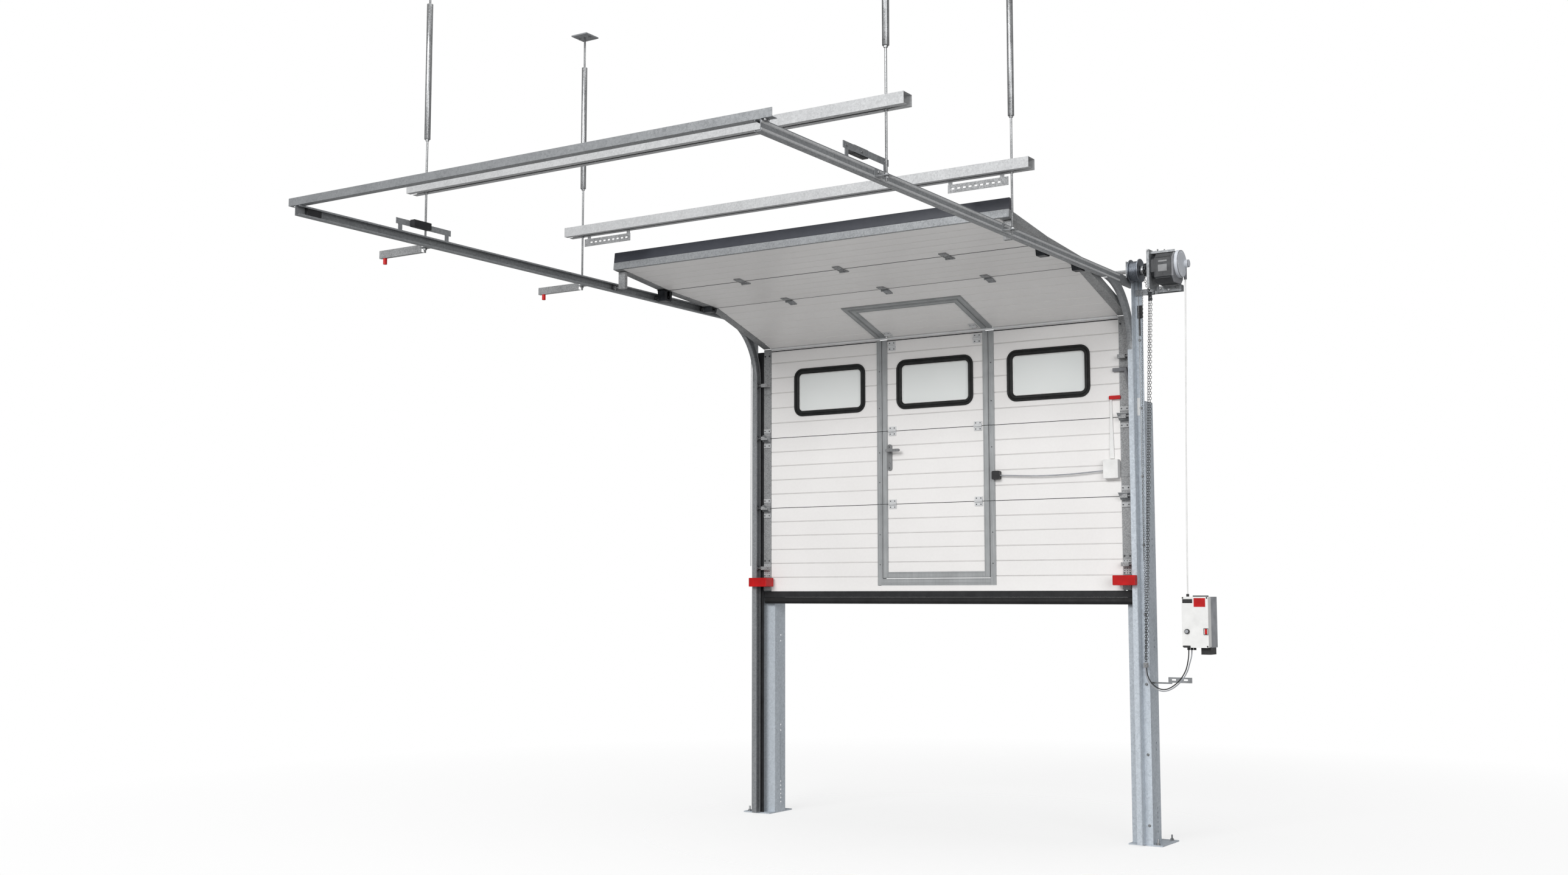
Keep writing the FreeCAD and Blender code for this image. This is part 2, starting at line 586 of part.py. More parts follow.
def bend_rail():
    """A quarter turn of track, cut off where it would enter the overhead rail."""
    body, sketch = outlined("BendTrack", track_shape())
    axis = sketch.addGeometry(Part.LineSegment(VECTOR(1300, -400, 0), VECTOR(1500, -400, 0)), True)
    sketch.addConstraint(Sketcher.Constraint("Horizontal", axis))
    number = sketch.addConstraint(Sketcher.Constraint("DistanceY", -1, 1, axis, 1, -400.0))
    sketch.setExpression(f"Constraints[{number}]", sized("-bend_radius"))
    turn = body.newObject("PartDesign::Revolution", "BendTurn")
    turn.Profile = sketch
    turn.ReferenceAxis = (sketch, ["Axis0"])
    turn.Angle = 90
    place(body, ("0", "track_y", "bend_z"))
    above = box("AboveRail", ("cap_half - 100", "foot_out"), ("-600", "100"),
                ("rail_z - track_half - hair", "rail_z + 400"))
    return cut("BendRail", body, [above])


STRIP_X = ("track_x - 12", "track_x - 8")


def tracks():
    upright = profile("UprightTrack", "z", track_shape(), "bend_z - foot_thick - hair",
                      ("0", "track_y", "foot_thick"))
    node("bend_tracks", both([bend_rail()]))
    rail = profile("OverheadRail", "y", track_shape(), "rail_front - rail_rear",
                   ("0", "rail_front", "rail_z"))
    mouth = box("RailMouth", ("track_x - track_deep - 5", "track_x - sheet_metal"),
                (BEND_Y, "-235"), ("rail_z - track_half - 5", "rail_z - track_half + sheet_metal"))
    lip_mouth = box("LipMouth", ("track_x - track_deep - 5", "track_x - track_deep + 5"),
                    (BEND_Y, "-235"), ("rail_z - track_half - 5", "rail_z"))
    overhead = cut("RailPair", rail, [mouth, lip_mouth])
    angle = profile("TrackAngle", "z", (("track_x + hair", "-66"), ("track_x + hair + 3", "-66"),
                                        ("track_x + hair + 3", "-5"), ("angle_out", "-5"),
                                        ("angle_out", "-2"), ("track_x + hair", "-2")),
                    "angle_top - foot_thick - hair", ("0", "0", "foot_thick + hair"))
    strip = box("BufferStrip", STRIP_X, ("-3500", "-3090"), ("strip_low", "strip_low + 32"))
    feet = [box(f"StripFoot{index}", STRIP_X, middle(y, "14"), ("rail_top - 1", "strip_low + 2"))
            for index, y in enumerate(("-3470", "-3120"))]
    node("upright_tracks", both([upright, angle]))
    node("overhead_rails", both([fuse("RailRun", [overhead, strip] + feet)] + rail_hangers()))
    tail = box("SealTail", ("cap_half + 3", "track_x + 30"), ("-2 + hair", "8"),
               ("foot_thick + hair", "joint_three - 20"))
    node("side_seals", both([tail]))


def rail_hangers():
    """Angle feet on the rails' backs, one at each suspension rod."""
    hangers = []
    for index, y in enumerate(("hanger_front", "hanger_rear")):
        foot = box(f"HangerFoot{index}", ("track_x + hair", "hanger_x + 22"), middle(y, "22"),
                   ("3397", "3401"))
        web = box(f"HangerWeb{index}", ("track_x + hair", "track_x + 4"), middle(y, "22"),
                  ("3397", "3440"))
        eye = rod(f"HangerEye{index}", "z", ("hanger_x", y, "3390"), "20", "thread_radius + hair")
        hangers.append(cut(f"Hanger{index}", fuse(f"HangerBody{index}", [foot, web]), [eye]))
    return hangers


def posts():
    """Folded posts, open at the back, with welded foot plates and rows of fixing holes."""
    inner, outer, front, back = "post_inner", "post_outer", "post_front", "post_back"
    wall = "post_sheet"
    corners = ((inner, back), (inner, front), (outer, front), (outer, back),
               (f"{outer} - 30", back), (f"{outer} - 30", f"{back} - {wall}"),
               (f"{outer} - {wall}", f"{back} - {wall}"), (f"{outer} - {wall}", f"{front} + {wall}"),
               (f"{inner} + {wall}", f"{front} + {wall}"), (f"{inner} + {wall}", f"{back} - {wall}"),
               (f"{inner} + 30", f"{back} - {wall}"), (f"{inner} + 30", back))
    column = profile("PostColumn", "z", corners, "post_top", ("0", "0", "0"))
    foot = box("FootPlate", (inner, "foot_out"), ("foot_front", "foot_back"), ("0", "foot_thick"))
    holes = [rod(f"AnchorHole{index}", "z", ("anchor_x", y, "-1"), "foot_thick + 2", "anchor_hole / 2")
             for index, y in enumerate(("anchor_front", "anchor_back"))]
    heights = [z for pair in range(4) for z in (560 + 620 * pair, 600 + 620 * pair)]
    heights += [70 + 28 * index for index in range(6)]
    for index, z in enumerate(heights):
        holes.append(rod(f"SideHole{index}", "x", ("post_inner - 5", "post_front + 78", z),
                         "post_outer - post_inner + 10", "6.5"))
    post = cut("PostRight", fuse("PostBody", [column, foot]), holes)
    node("post_right", [post])
    node("post_left", [mirror(post)])


def suspension():
    """Two cross channels and the rear bar, hung from the ceiling on four rods."""
    half, low, high, lip = "channel_half", "channel_low", "channel_high", "31"
    wall = "sheet_metal + 0.5"
    corners = ((f"-{half}", high), (f"-{half}", low), (f"-{half} + {lip}", low),
               (f"-{half} + {lip}", f"{low} + {wall}"), (f"-{half} + {wall}", f"{low} + {wall}"),
               (f"-{half} + {wall}", f"{high} - {wall}"), (f"{half} - {wall}", f"{high} - {wall}"),
               (f"{half} - {wall}", f"{low} + {wall}"), (f"{half} - {lip}", f"{low} + {wall}"),
               (f"{half} - {lip}", low), (half, low), (half, high))
    channels = []
    for index, y in enumerate(("hanger_front", "hanger_rear")):
        beam = profile(f"Channel{index}", "x", corners, "2 * channel_end", ("-channel_end", y, "0"))
        holes = [rod(f"ChannelHole{index}{side}", "z", (x, y, "channel_low - 5"), "80",
                     "thread_radius + hair")
                 for side, x in enumerate(("-hanger_x", "hanger_x"))]
        channels.append(cut(f"CrossChannel{index}", beam, holes))
    bar = profile("RearBar", "x", (("-20", "rail_top + 40"), ("-20", "rail_top + hair"),
                                   ("20", "rail_top + hair"), ("20", "rail_top + 3"),
                                   ("-17", "rail_top + 3"), ("-17", "rail_top + 40")),
                  "2 * hanger_x", ("-hanger_x", "rail_rear + 24", "0"))
    brace = box("Brace", ("1080", "1436"), ("hanger_front - 3", "hanger_front"),
                ("channel_low - 70", "channel_low - 24"))
    tabs = [box(f"BraceTab{index}", middle(x, "12"), ("hanger_front - 3", "hanger_front"),
                ("channel_low - 30", "channel_low + 1")) for index, x in enumerate(("1095", "1400"))]
    slots = [box(f"BraceSlot{index}", middle(f"{1110 + 34 * index}", "9"),
                 ("hanger_front - 10", "hanger_front + 10"), middle("channel_low - 47", "5"))
             for index in range(9)]
    braced = [cut("BracePlate", fuse("BraceBody", [brace] + tabs), slots)]
    node("cross_channels", channels + [bar] + both(braced))
    rods, plates, nuts = [], [], []
    for index, y in enumerate(("hanger_front", "hanger_rear")):
        rods.append(rod(f"Thread{index}", "z", ("hanger_x", y, "3372"), "ceiling_z - 8 - 3372",
                        "thread_radius"))
        rods.append(tube(f"Sleeve{index}", "z", ("hanger_x", y, "4010"), "770", "tube_radius",
                          "thread_radius + hair"))
        plates.append(box(f"CeilingPlate{index}", middle("hanger_x", "60"), middle(y, "60"),
                          ("ceiling_z - 8", "ceiling_z")))
        for level, z in enumerate(("3384", "channel_low - 12", "channel_high + hair", "3998")):
            nuts.append(tube(f"Nut{index}{level}", "z", ("hanger_x", y, z), "10", "12",
                             "thread_radius + hair / 2"))
    node("hanger_rods", both(rods))
    holes = [rod(f"PlateHole{index}{side}", "z", (f"hanger_x + {40 * side}", y, "ceiling_z - 10"),
                 "12", "5.5")
             for index, y in enumerate(("hanger_front", "hanger_rear")) for side in (-1, 1)]
    node("ceiling_plates", both([cut(plate.Name + "Cut", plate, holes) for plate in plates]))
    heads = [rod(f"AngleScrew{index}", "y", ("1428", "-12", f"{120 + 420 * index}"), "7 - hair", "7")
             for index in range(8)]
    node("fasteners", both(nuts + heads))

    arms, knobs = [], []
    for index, y in enumerate(("hanger_front", "hanger_rear")):
        arms.append(profile(f"AdjusterArm{index}", "x", (("0", "3376"), ("22", "3376"), ("22", "3379"),
                                                        ("3", "3379"), ("3", "3420"), ("0", "3420")),
                            "arm_long", ("-hanger_x - 24 - arm_long", f"{y} - 6", "0")))
        knobs.append(rod(f"AdjusterKnob{index}", "z", ("-hanger_x - arm_long + 12", f"{y} + 5", "3342"),
                         "34 - hair", "11"))
    node("adjuster_arms", arms + knobs)
    buffer = box("BufferBlock", ("track_x - track_deep + 4", "track_x - 4"),
                 ("rail_rear + 60", "rail_rear + 150"), middle("rail_z", "20"))
    bumper = box("BumperBody", ("track_x - 44", "track_x - 12 - hair"), ("-3400", "-3270"),
                 ("strip_low - 3", "strip_low + 36"))
    node("track_buffers", both([buffer, bumper]))


def opener_bracket():
    """The opener's upright plate and the bolted arm that carries it."""
    plate = box("BracketPlate", ("operator_in - 5", "operator_in - hair"), ("-176", "-9"),
                ("operator_low - 26", "operator_high + 30"))
    flange = box("BracketFlange", ("operator_in - 17", "operator_in - hair"), ("-176", "-173"),
                 ("operator_low - 26", "operator_high + 30"))
    ledge = box("BracketLedge", ("operator_in - 5", "collar_end"), ("-52", "-9"),
                ("operator_low - 3", "operator_low - hair"))
    lip = box("BracketLip", ("operator_in - 17", "collar_end"), ("-52", "-49"),
              ("operator_low - 38", "operator_low - hair"))
    wall = box("BracketWall", ("track_x + 8", "collar_end"), ("-12", "-5 - hair"),
               ("operator_low - 38", "operator_low - hair"))
    strap = box("BracketStrap", ("operator_in - 17", "collar_end - 1"), ("-150", "-70"),
                ("operator_high + 4", "operator_high + 7"))
    lips = box("StrapLip", ("operator_in - 17", "collar_end - 1"), ("-150", "-147"),
               ("operator_high + 4", "operator_high + 18"))
    hole = rod("BracketHole", "x", ("operator_in - 15", "shaft_y", "shaft_z"), "30", "36")
    return cut("Bracket", fuse("BracketBody", [plate, flange, ledge, lip, wall, strap, lips]), [hole])


def shaft_line():
    """Spring shaft with cable drums, springs and the worm wheel that drives it."""
    run = rod("ShaftRod", "x", ("-drum_high - 30", "shaft_y", "shaft_z"),
              "drum_high + 30 + operator_mid - 20", "shaft_radius")
    coupling = rod("ShaftCoupling", "x", ("1486", "shaft_y", "shaft_z"), "16", "30")
    node("spring_shaft", [fuse("Shaft", [run, coupling])])
    barrel = rod("DrumBarrel", "x", ("drum_low", "shaft_y", "shaft_z"), "drum_high - drum_low",
                 "drum_radius")
    rims = [rod(f"DrumRim{index}", "x", (x, "shaft_y", "shaft_z"), "6", "drum_flange")
            for index, x in enumerate(("drum_low", "drum_high - 6"))]
    bore = rod("DrumBore", "x", ("drum_low - 5", "shaft_y", "shaft_z"), "90", "shaft_radius")
    node("cable_drums", both([cut("Drum", fuse("DrumBody", [barrel] + rims), [bore])]))
    spring = tube("Spring", "x", ("spring_low", "shaft_y", "shaft_z"), "spring_high - spring_low",
                  "spring_radius", "spring_bore")
    cones = [tube(f"Cone{index}", "x", (x, "shaft_y", "shaft_z"), "55", "spring_bore - hair",
                  "shaft_radius + hair")
             for index, x in enumerate(("spring_low - 20", "spring_high - 35"))]
    node("torsion_springs", both([spring] + cones))
    bearing = box("BearingPlate", ("track_x + hair", "track_x + 7"), ("-150", "-2"),
                  ("angle_top + hair", "shaft_z + 55"))
    foot = box("BearingFoot", ("track_x + hair", "angle_out"), ("-30", "-2"),
               ("angle_top + hair", "angle_top + 5"))
    centre = box("CentrePlate", ("-3", "3"), ("-140", "-60"), ("shaft_z - 60", "shaft_z + 60"))
    hole = rod("BearingHole", "x", ("-2000", "shaft_y", "shaft_z"), "4000", "shaft_radius + hair")
    end = cut("EndBearing", fuse("EndBearingBody", [bearing, foot]), [hole])
    bearings = both([end]) + [cut("CentreBearing", centre, [hole])]
    cable = rod("LiftCable", "z", ("drum_low + 20", "shaft_y + drum_radius + 2.3", "1700"),
                "shaft_z - 1700", "2")
    node("lifting_cables", both([cable]))
    node("shaft_brackets", bearings + [opener_bracket()])
    gear = tube("WormWheel", "x", ("neck_end + 6", "shaft_y", "shaft_z"), "26", "gear_radius",
                "shaft_radius")
    node("worm_wheel", [gear])


def route_wire(points):
    """Straight runs joined by tangent arcs, each as large as its two runs allow."""
    points = [VECTOR(*point) for point in points]
    edges, radii, start = [], [], points[0]
    for before, corner, after in zip(points, points[1:], points[2:]):
        into = (corner - before).normalize()
        out = (after - corner).normalize()
        half = into.getAngle(out) / 2
        reach = 0.45 * min((corner - before).Length, (after - corner).Length)
        radii.append(reach / math.tan(half))
        first = corner - into * reach
        last = corner + out * reach
        bisector = (out - into).normalize()
        centre = corner + bisector * math.hypot(radii[-1], reach)
        middle_point = centre + (corner - centre).normalize() * radii[-1]
        edges.append(Part.LineSegment(start, first).toShape())
        edges.append(Part.Arc(first, middle_point, last).toShape())
        start = last
    edges.append(Part.LineSegment(start, points[-1]).toShape())
    return Part.Wire(edges), radii


def swept(name, points, diameter):
    """A round bar along a route."""
    wire, radii = route_wire(points)
    first = VECTOR(*points[0])
    section = Part.Wire(Part.Circle(first, VECTOR(*points[1]) - first, diameter / 2).toShape())
    item = DOC.addObject("Part::Feature", name)
    item.Shape = wire.makePipeShell([section], True, False)
    return item, wire, radii


def octagon(half_y, low, high, chamfer):
    """A y-z outline with four cut corners about the shaft line."""
    left, right = f"-({half_y})", half_y
    return ((left, f"{low} + {chamfer}"), (f"{left} + {chamfer}", low), (f"{right} - {chamfer}", low),
            (right, f"{low} + {chamfer}"), (right, f"{high} - {chamfer}"),
            (f"{right} - {chamfer}", high), (f"{left} + {chamfer}", high),
            (left, f"{high} - {chamfer}"))


def shell_pair(name, x, half, low, high, chamfer):
    """The outside of an octagonal shell and the room inside it."""
    start, end = x
    outer = profile(name + "Outer", "x", octagon(half, low, high, chamfer), f"{end} - ({start})",
                    (start, "shaft_y", "0"))
    inner = profile(name + "Room", "x", octagon(f"({half} - shell)", f"({low} + shell)",
                                                f"({high} - shell)", f"({chamfer} - 2)"),
                    f"{end} - ({start}) + shell", (f"{start} + shell", "shaft_y", "0"))
    return outer, inner


CHAIN_RUNS = (
    ("ChainFront", ((1520, -137, 3475), (1520, -137, 3400), (1526, -55, 3300), (1506, -51, 2700),
                    (1449.5, -51, 1095))),
    ("ChainBack", ((1520, -63, 3475), (1520, -63, 3400), (1513, -55, 3300), (1493, -51, 2700),
                   (1441, -51, 1095))),
)


def opener():
    """Worm gear motor on the shaft end: a necked gear case, an end plate and a round end cover."""
    low, high = "operator_low", "operator_high"
    neck = shell_pair("Neck", ("operator_in", "neck_end"), "neck_half", "neck_low", "neck_high", "26")
    case = shell_pair("Case", ("neck_end", "operator_mid"), "operator_half", low, high, "34")
    hole = rod("OpenerHole", "x", ("operator_in - 5", "shaft_y", "shaft_z"), "20", "shaft_radius + hair")
    node("opener_housing", [cut("OpenerShell", fuse("OpenerSkin", [neck[0], case[0]]),
                                [neck[1], case[1], hole])])
    plate = profile("EndPlate", "x", octagon("operator_half", low, high, "34"),
                    "collar_end - operator_mid - hair", ("operator_mid + hair", "shaft_y", "0"))
    end_y = "shaft_y + 5"
    end = rod("EndCover", "x", ("collar_end", end_y, "end_z"), "operator_out - collar_end", "end_radius")
    boss = rod("EndBoss", "x", ("collar_end", "shaft_y + 54", "end_z + 8"),
               "operator_out - collar_end + 26", "23")
    nozzle = rod("CableNozzle", "z", ("cable_x", "cable_y", "nozzle_low"), "end_z - nozzle_low - 20", "9")
    room = rod("CoverRoom", "x", ("operator_mid - 5", end_y, "end_z"),
               "operator_out - operator_mid + 5 - shell", "end_radius - shell - 15")
    node("opener_cover", [cut("CoverShell", fuse("CoverSkin", [plate, end, boss, nozzle]), [room])])
    motor = rod("MotorCan", "x", ("neck_end + 40", "shaft_y", "motor_z"), "64", "30")
    worm = rod("Worm", "x", ("neck_end + 8", "shaft_y", "motor_z"), "34", "14")
    node("opener_motor", [fuse("Motor", [motor, worm])])
    disc = tube("ChainDisc", "x", ("chain_x - 9", "shaft_y", "shaft_z"), "9", "chain_radius + 8",
                "shaft_radius + hair")
    node("chain_wheel", [disc])
    node("hand_chain", [swept(name, points, 5.6)[0] for name, points in CHAIN_RUNS])


GLAND_Y = "box_split + 20"


def control_box():
    x = ("box_in", "box_out")
    z = ("box_low", "box_high")
    case = box("BoxBase", x, ("box_split + hair", "box_back"), z)
    room = box("BoxBaseRoom", ("box_in + shell", "box_out - shell"), ("box_split - 1", "box_back - shell"),
               ("box_low + shell", "box_high - shell"))
    node("control_box_base", [cut("BoxBaseShell", case, [room])])
    front = rounded("BoxFront", "(box_in + box_out) / 2", "(box_low + box_high) / 2",
                    "((box_out - box_in) / 2)", "((box_high - box_low) / 2)",
                    ("box_front", "box_split"), "8")
    room = box("BoxFrontRoom", ("box_in + shell", "box_out - shell"), ("box_front + shell", "box_split + 1"),
               ("box_low + shell", "box_high - shell"))
    stem = rod("KnobHole", "y", ("knob_x", "box_front - 5", "knob_z"), "20", "6 + hair")
    slot = box("RockerSlot", middle("rocker_x", "rocker_half + 0.6"), ("box_front - 5", "box_front + 10"),
               middle("knob_z", "rocker_tall + 2"))
    node("control_box_cover", [cut("BoxCoverShell", front, [room, stem, slot])])
    cap = rod("KnobCap", "y", ("knob_x", "box_front - 19", "knob_z"), "19 - hair", "knob_radius")
    axle = rod("KnobAxle", "y", ("knob_x", "box_front - 2", "knob_z"), "22", "6")
    node("control_knob", [fuse("Knob", [cap, axle])])
    key = box("RockerKey", middle("rocker_x", "rocker_half"), ("box_front - 3", "box_front + 12"),
              middle("knob_z", "rocker_tall"))
    pin = rod("RockerPin", "x", ("rocker_x - 10", "box_front + rocker_pin", "knob_z"), "20", "2")
    node("rocker_switch", [fuse("Rocker", [key, pin])])
    glands = [rod(f"Gland{index}", "z", (gland_x, GLAND_Y, "box_low - 16"), "16 - hair", "8.5")
              for index, gland_x in enumerate(("1703", "1722", "1741"))]
    glands.append(rod("TopGland", "z", ("1704", GLAND_Y, "box_high + hair"), "16", "8.5"))
    block = box("BoxFoot", ("1790", "1848"), ("-60", "40"), ("1146", "box_low - hair"))
    clip = box("ChainClip", ("post_outer + hair", "post_outer + 24"), ("-62", "-40"), ("1062", "1092"))
    stay = box("ClipStay", ("post_outer + hair", "post_outer + 4"), ("-42", "-5 - hair"), ("1070", "1084"))
    wall = box("WallPlate", ("1541", "1689"), ("58", "61"), ("970", "1003"))
    wall_arm = box("WallArm", ("post_outer + hair", "1565"), ("58", "61"), ("962", "972"))
    slots = [box(f"WallSlot{index}", middle(x, "13"), ("50", "70"), ("983", "993"))
             for index, x in enumerate(("1576", "1650"))]
    bracket = cut("WallBracket", fuse("WallBody", [wall, wall_arm]), slots)
    node("cable_fixings", glands + [block, fuse("Clip", [clip, stay]), bracket])


CORD_Y = -28.0
MOTOR_CABLE = [(1735, CORD_Y, 3404.7), (1728, CORD_Y, 3025), (1717, CORD_Y, 2508),
               (1711.5, CORD_Y, 2142), (1706, CORD_Y, 1777), (1704, CORD_Y, 1503.3)]
GREY_LOOP = [(1439.5, -51, 1062), (1437, -50, 1030), (1458, -47, 971), (1498, -44, 934),
             (1545, -41, 920), (1595, -37, 934), (1652, -33, 979), (1693, -29, 1041),
             (1709, CORD_Y, 1100), (1721, CORD_Y, 1136), (1722, CORD_Y, 1171)]
BLACK_LOOP = [(1448, -51, 1062), (1446, -50, 1030), (1466, -47, 978), (1503, -44, 944),
              (1545, -41, 930), (1590, -37, 943), (1644, -33, 986), (1683, -29, 1046),
              (1697, CORD_Y, 1104), (1702, CORD_Y, 1138), (1703, CORD_Y, 1171)]
DOOR_CORD = [(480.3, -22, 2262), (560, -23, 2258), (660, -24, 2252), (775, -25, 2248), (890, -25, 2248),
             (1000, -24, 2252), (1100, -23, 2258), (1188.7, -22, 2264)]


def cord(name, points, diameter):
    item, wire, radii = swept(name.title().replace("_", ""), points, diameter)
    ideal = math.pi * diameter ** 2 / 4 * wire.Length
    print(name, "length", round(wire.Length), "least radius", round(min(radii)),
          "volume ratio", round(item.Shape.Volume / ideal, 4))
    node(name, [item])


sections()
windows()
wicket()
fittings()
rollers()
edge_seals()
leaf_controls()
tracks()
posts()
suspension()
shaft_line()
opener()
control_box()
cord("motor_cable", MOTOR_CABLE, 8)
cord("grey_loop_cable", GREY_LOOP, 7)
cord("black_loop_cable", BLACK_LOOP, 7)
cord("leaf_cord", DOOR_CORD, 8)
DOC.recompute()

for item in DOC.Objects:
    if "Invalid" in item.State or "Error" in item.State:
        raise SystemExit(f"{item.Name} failed: {item.State}")
for item in NODES:
    if item.Shape.isNull() or not item.Shape.isValid() or not item.Shape.Solids:
        raise SystemExit(f"{item.Label} has no valid shape")
os.makedirs("parts", exist_ok=True)
for item in NODES:
    item.Shape.exportStep(os.path.join("parts", item.Label + ".step"))
print(len(NODES), "nodes")
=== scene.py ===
import math
import random

import bmesh
import bpy
from mathutils import Matrix, Vector


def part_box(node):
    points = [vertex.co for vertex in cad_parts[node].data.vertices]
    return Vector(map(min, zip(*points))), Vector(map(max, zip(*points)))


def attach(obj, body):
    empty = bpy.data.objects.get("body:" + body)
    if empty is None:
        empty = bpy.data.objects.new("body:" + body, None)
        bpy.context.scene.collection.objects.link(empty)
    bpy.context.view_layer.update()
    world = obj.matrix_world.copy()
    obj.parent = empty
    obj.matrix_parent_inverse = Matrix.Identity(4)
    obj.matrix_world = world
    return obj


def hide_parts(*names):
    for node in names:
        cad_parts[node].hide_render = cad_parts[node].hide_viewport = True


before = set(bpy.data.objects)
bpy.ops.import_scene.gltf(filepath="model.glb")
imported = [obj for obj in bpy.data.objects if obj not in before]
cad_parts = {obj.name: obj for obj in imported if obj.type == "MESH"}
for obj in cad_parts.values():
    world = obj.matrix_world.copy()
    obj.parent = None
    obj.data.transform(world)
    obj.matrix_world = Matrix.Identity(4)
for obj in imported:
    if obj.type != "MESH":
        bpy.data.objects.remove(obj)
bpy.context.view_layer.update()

MM = 0.001
random.seed(7)


# ---- Camera ----------------------------------------------------------------------------------
lens = bpy.data.cameras.new("Camera")
lens.lens = 38.24
lens.sensor_width = 36
lens.clip_end = 200
camera = bpy.data.objects.new("Camera", lens)
camera.location = (5.110, -9.725, 1.489)
camera.rotation_euler = (math.radians(95.45), 0, math.radians(32.92))
bpy.context.scene.collection.objects.link(camera)
bpy.context.scene.camera = camera


# ---- Finishes --------------------------------------------------------------------------------
EVEN = (1, 1, 1)
NOISE_SPAN = (0.3, 0.7)  # nearly all values of a noise pattern lie in here


def linear(shades):
    """Screen shades from 0 to 1 as a linear colour."""
    return tuple(((s + 0.055) / 1.055) ** 2.4 if s > 0.04 else s / 12.92 for s in shades) + (1,)


class Finish:
    """A procedural material, patterned in the object's own metres."""

    def __init__(self, name, **fixed):
        self.material = bpy.data.materials.new(name)
        self.material.use_nodes = True
        self.tree = self.material.node_tree
        self.shader = self.tree.nodes["Principled BSDF"]
        for socket, value in fixed.items():
            self.shader.inputs[socket.replace("_", " ")].default_value = value
        self.coords = self.add("TexCoord").outputs["Object"]
        self.normal = None

    def add(self, kind, **inputs):
        node = self.tree.nodes.new("ShaderNode" + kind)
        for socket, value in inputs.items():
            node.inputs[socket].default_value = value
        return node

    def link(self, source, target):
        self.tree.links.new(source, target)

    def noise(self, scale, detail=3, stretch=EVEN):
        mapping = self.add("Mapping", Scale=stretch)
        self.link(self.coords, mapping.inputs["Vector"])
        node = self.add("TexNoise", Scale=scale, Detail=detail, Roughness=0.55)
        self.link(mapping.outputs["Vector"], node.inputs["Vector"])
        return node.outputs["Fac"]

    def cells(self, scale, feature="F1"):
        """Random grains: F1 gives each one shade, the other features a distance within it."""
        node = self.add("TexVoronoi", Scale=scale)
        node.feature = feature
        self.link(self.coords, node.inputs["Vector"])
        if feature == "F1":
            grey = self.add("RGBToBW")
            self.link(node.outputs["Color"], grey.inputs["Color"])
            return grey.outputs["Val"]
        return node.outputs["Distance"]

    def blend(self, one, other, share):
        node = self.add("Mix")
        node.data_type = "FLOAT"
        node.inputs["Factor"].default_value = share
        self.link(one, node.inputs[2])
        self.link(other, node.inputs[3])
        return node.outputs[0]

    def remap(self, value, *spans):
        """Moves a value from the span of the first two numbers to that of the last two."""
        node = self.add("MapRange")
        for socket, limit in zip(("From Min", "From Max", "To Min", "To Max"), spans):
            node.inputs[socket].default_value = limit
        self.link(value, node.inputs["Value"])
        return node.outputs["Result"]

    def colour(self, pattern, *stops):
        """Base colour from a pattern, by two stops of (position, screen shades)."""
        ramp = self.add("ValToRGB")
        for point, (position, shades) in zip(ramp.color_ramp.elements, stops):
            point.position = position
            point.color = linear(shades)
        self.link(pattern, ramp.inputs["Fac"])
        self.link(ramp.outputs["Color"], self.shader.inputs["Base Color"])

    def rough(self, pattern, low, high):
        self.link(self.remap(pattern, *NOISE_SPAN, low, high), self.shader.inputs["Roughness"])

    def bump(self, pattern, depth, strength=1.0):
        node = self.add("Bump", Distance=depth, Strength=strength)
        self.link(pattern, node.inputs["Height"])
        if self.normal:
            self.link(self.normal, node.inputs["Normal"])
        self.normal = node.outputs["Normal"]
        self.link(self.normal, self.shader.inputs["Normal"])
        return self


def panel_paint():
    """Coil-coated steel skin with a fine stucco emboss and faint handling marks."""
    f = Finish("panel_white", Metallic=0.0)
    f.colour(f.blend(f.noise(1.7, 4), f.noise(60, 4), 0.35), (0.3, (0.902, 0.894, 0.889)),
             (0.7, (0.932, 0.926, 0.921)))
    f.rough(f.noise(18, 5), 0.30, 0.44)
    f.bump(f.noise(3.5, 2), 0.0005, 0.3)
    return f.bump(f.cells(310, "SMOOTH_F1"), 0.0004, 0.22).material


def zinc_sheet(name, dark, light, scale, low, high, metal):
    """Hot-dip galvanised sheet: frosted spangles with their own shade and gloss."""
    f = Finish(name, Metallic=metal)
    spangle = f.blend(f.cells(scale), f.cells(scale * 3.1), 0.45)
    streak = f.blend(f.noise(7, 4, (1, 1, 0.2)), f.noise(260, 3), 0.4)
    f.colour(f.blend(spangle, streak, 0.55), (0.3, dark), (0.72, light))
    f.rough(f.blend(spangle, streak, 0.35), high, low)
    f.bump(f.noise(160, 3), 0.0002, 0.25)
    return f.bump(f.cells(scale, "DISTANCE_TO_EDGE"), 0.0003, 0.1).material


def bare_metal(name, dark, light, low, high, grain=90, stretch=EVEN, metal=1.0):
    """Plated, rolled or drawn metal with a faint grain."""
    f = Finish(name, Metallic=metal)
    grain_lines = f.noise(grain, 4, stretch)
    f.colour(f.blend(grain_lines, f.noise(9, 3), 0.5), (0.35, dark), (0.65, light))
    f.rough(grain_lines, low, high)
    return f.bump(grain_lines, 0.0002, 0.2).material


def moulded(name, dark, light, low, high, grain=700, depth=0.0002, coat=0.0, shine=0.5):
    """Moulded plastic, rubber or textured paint with a fine grain and soft scuffs."""
    f = Finish(name, Coat_Weight=coat, Specular_IOR_Level=shine)
    f.colour(f.noise(14, 5), (0.3, dark), (0.7, light))
    f.rough(f.noise(45, 4), low, high)
    f.bump(f.cells(grain, "SMOOTH_F1"), depth, 0.3)
    return f.bump(f.noise(grain / 9, 3), depth * 1.5, 0.15).material


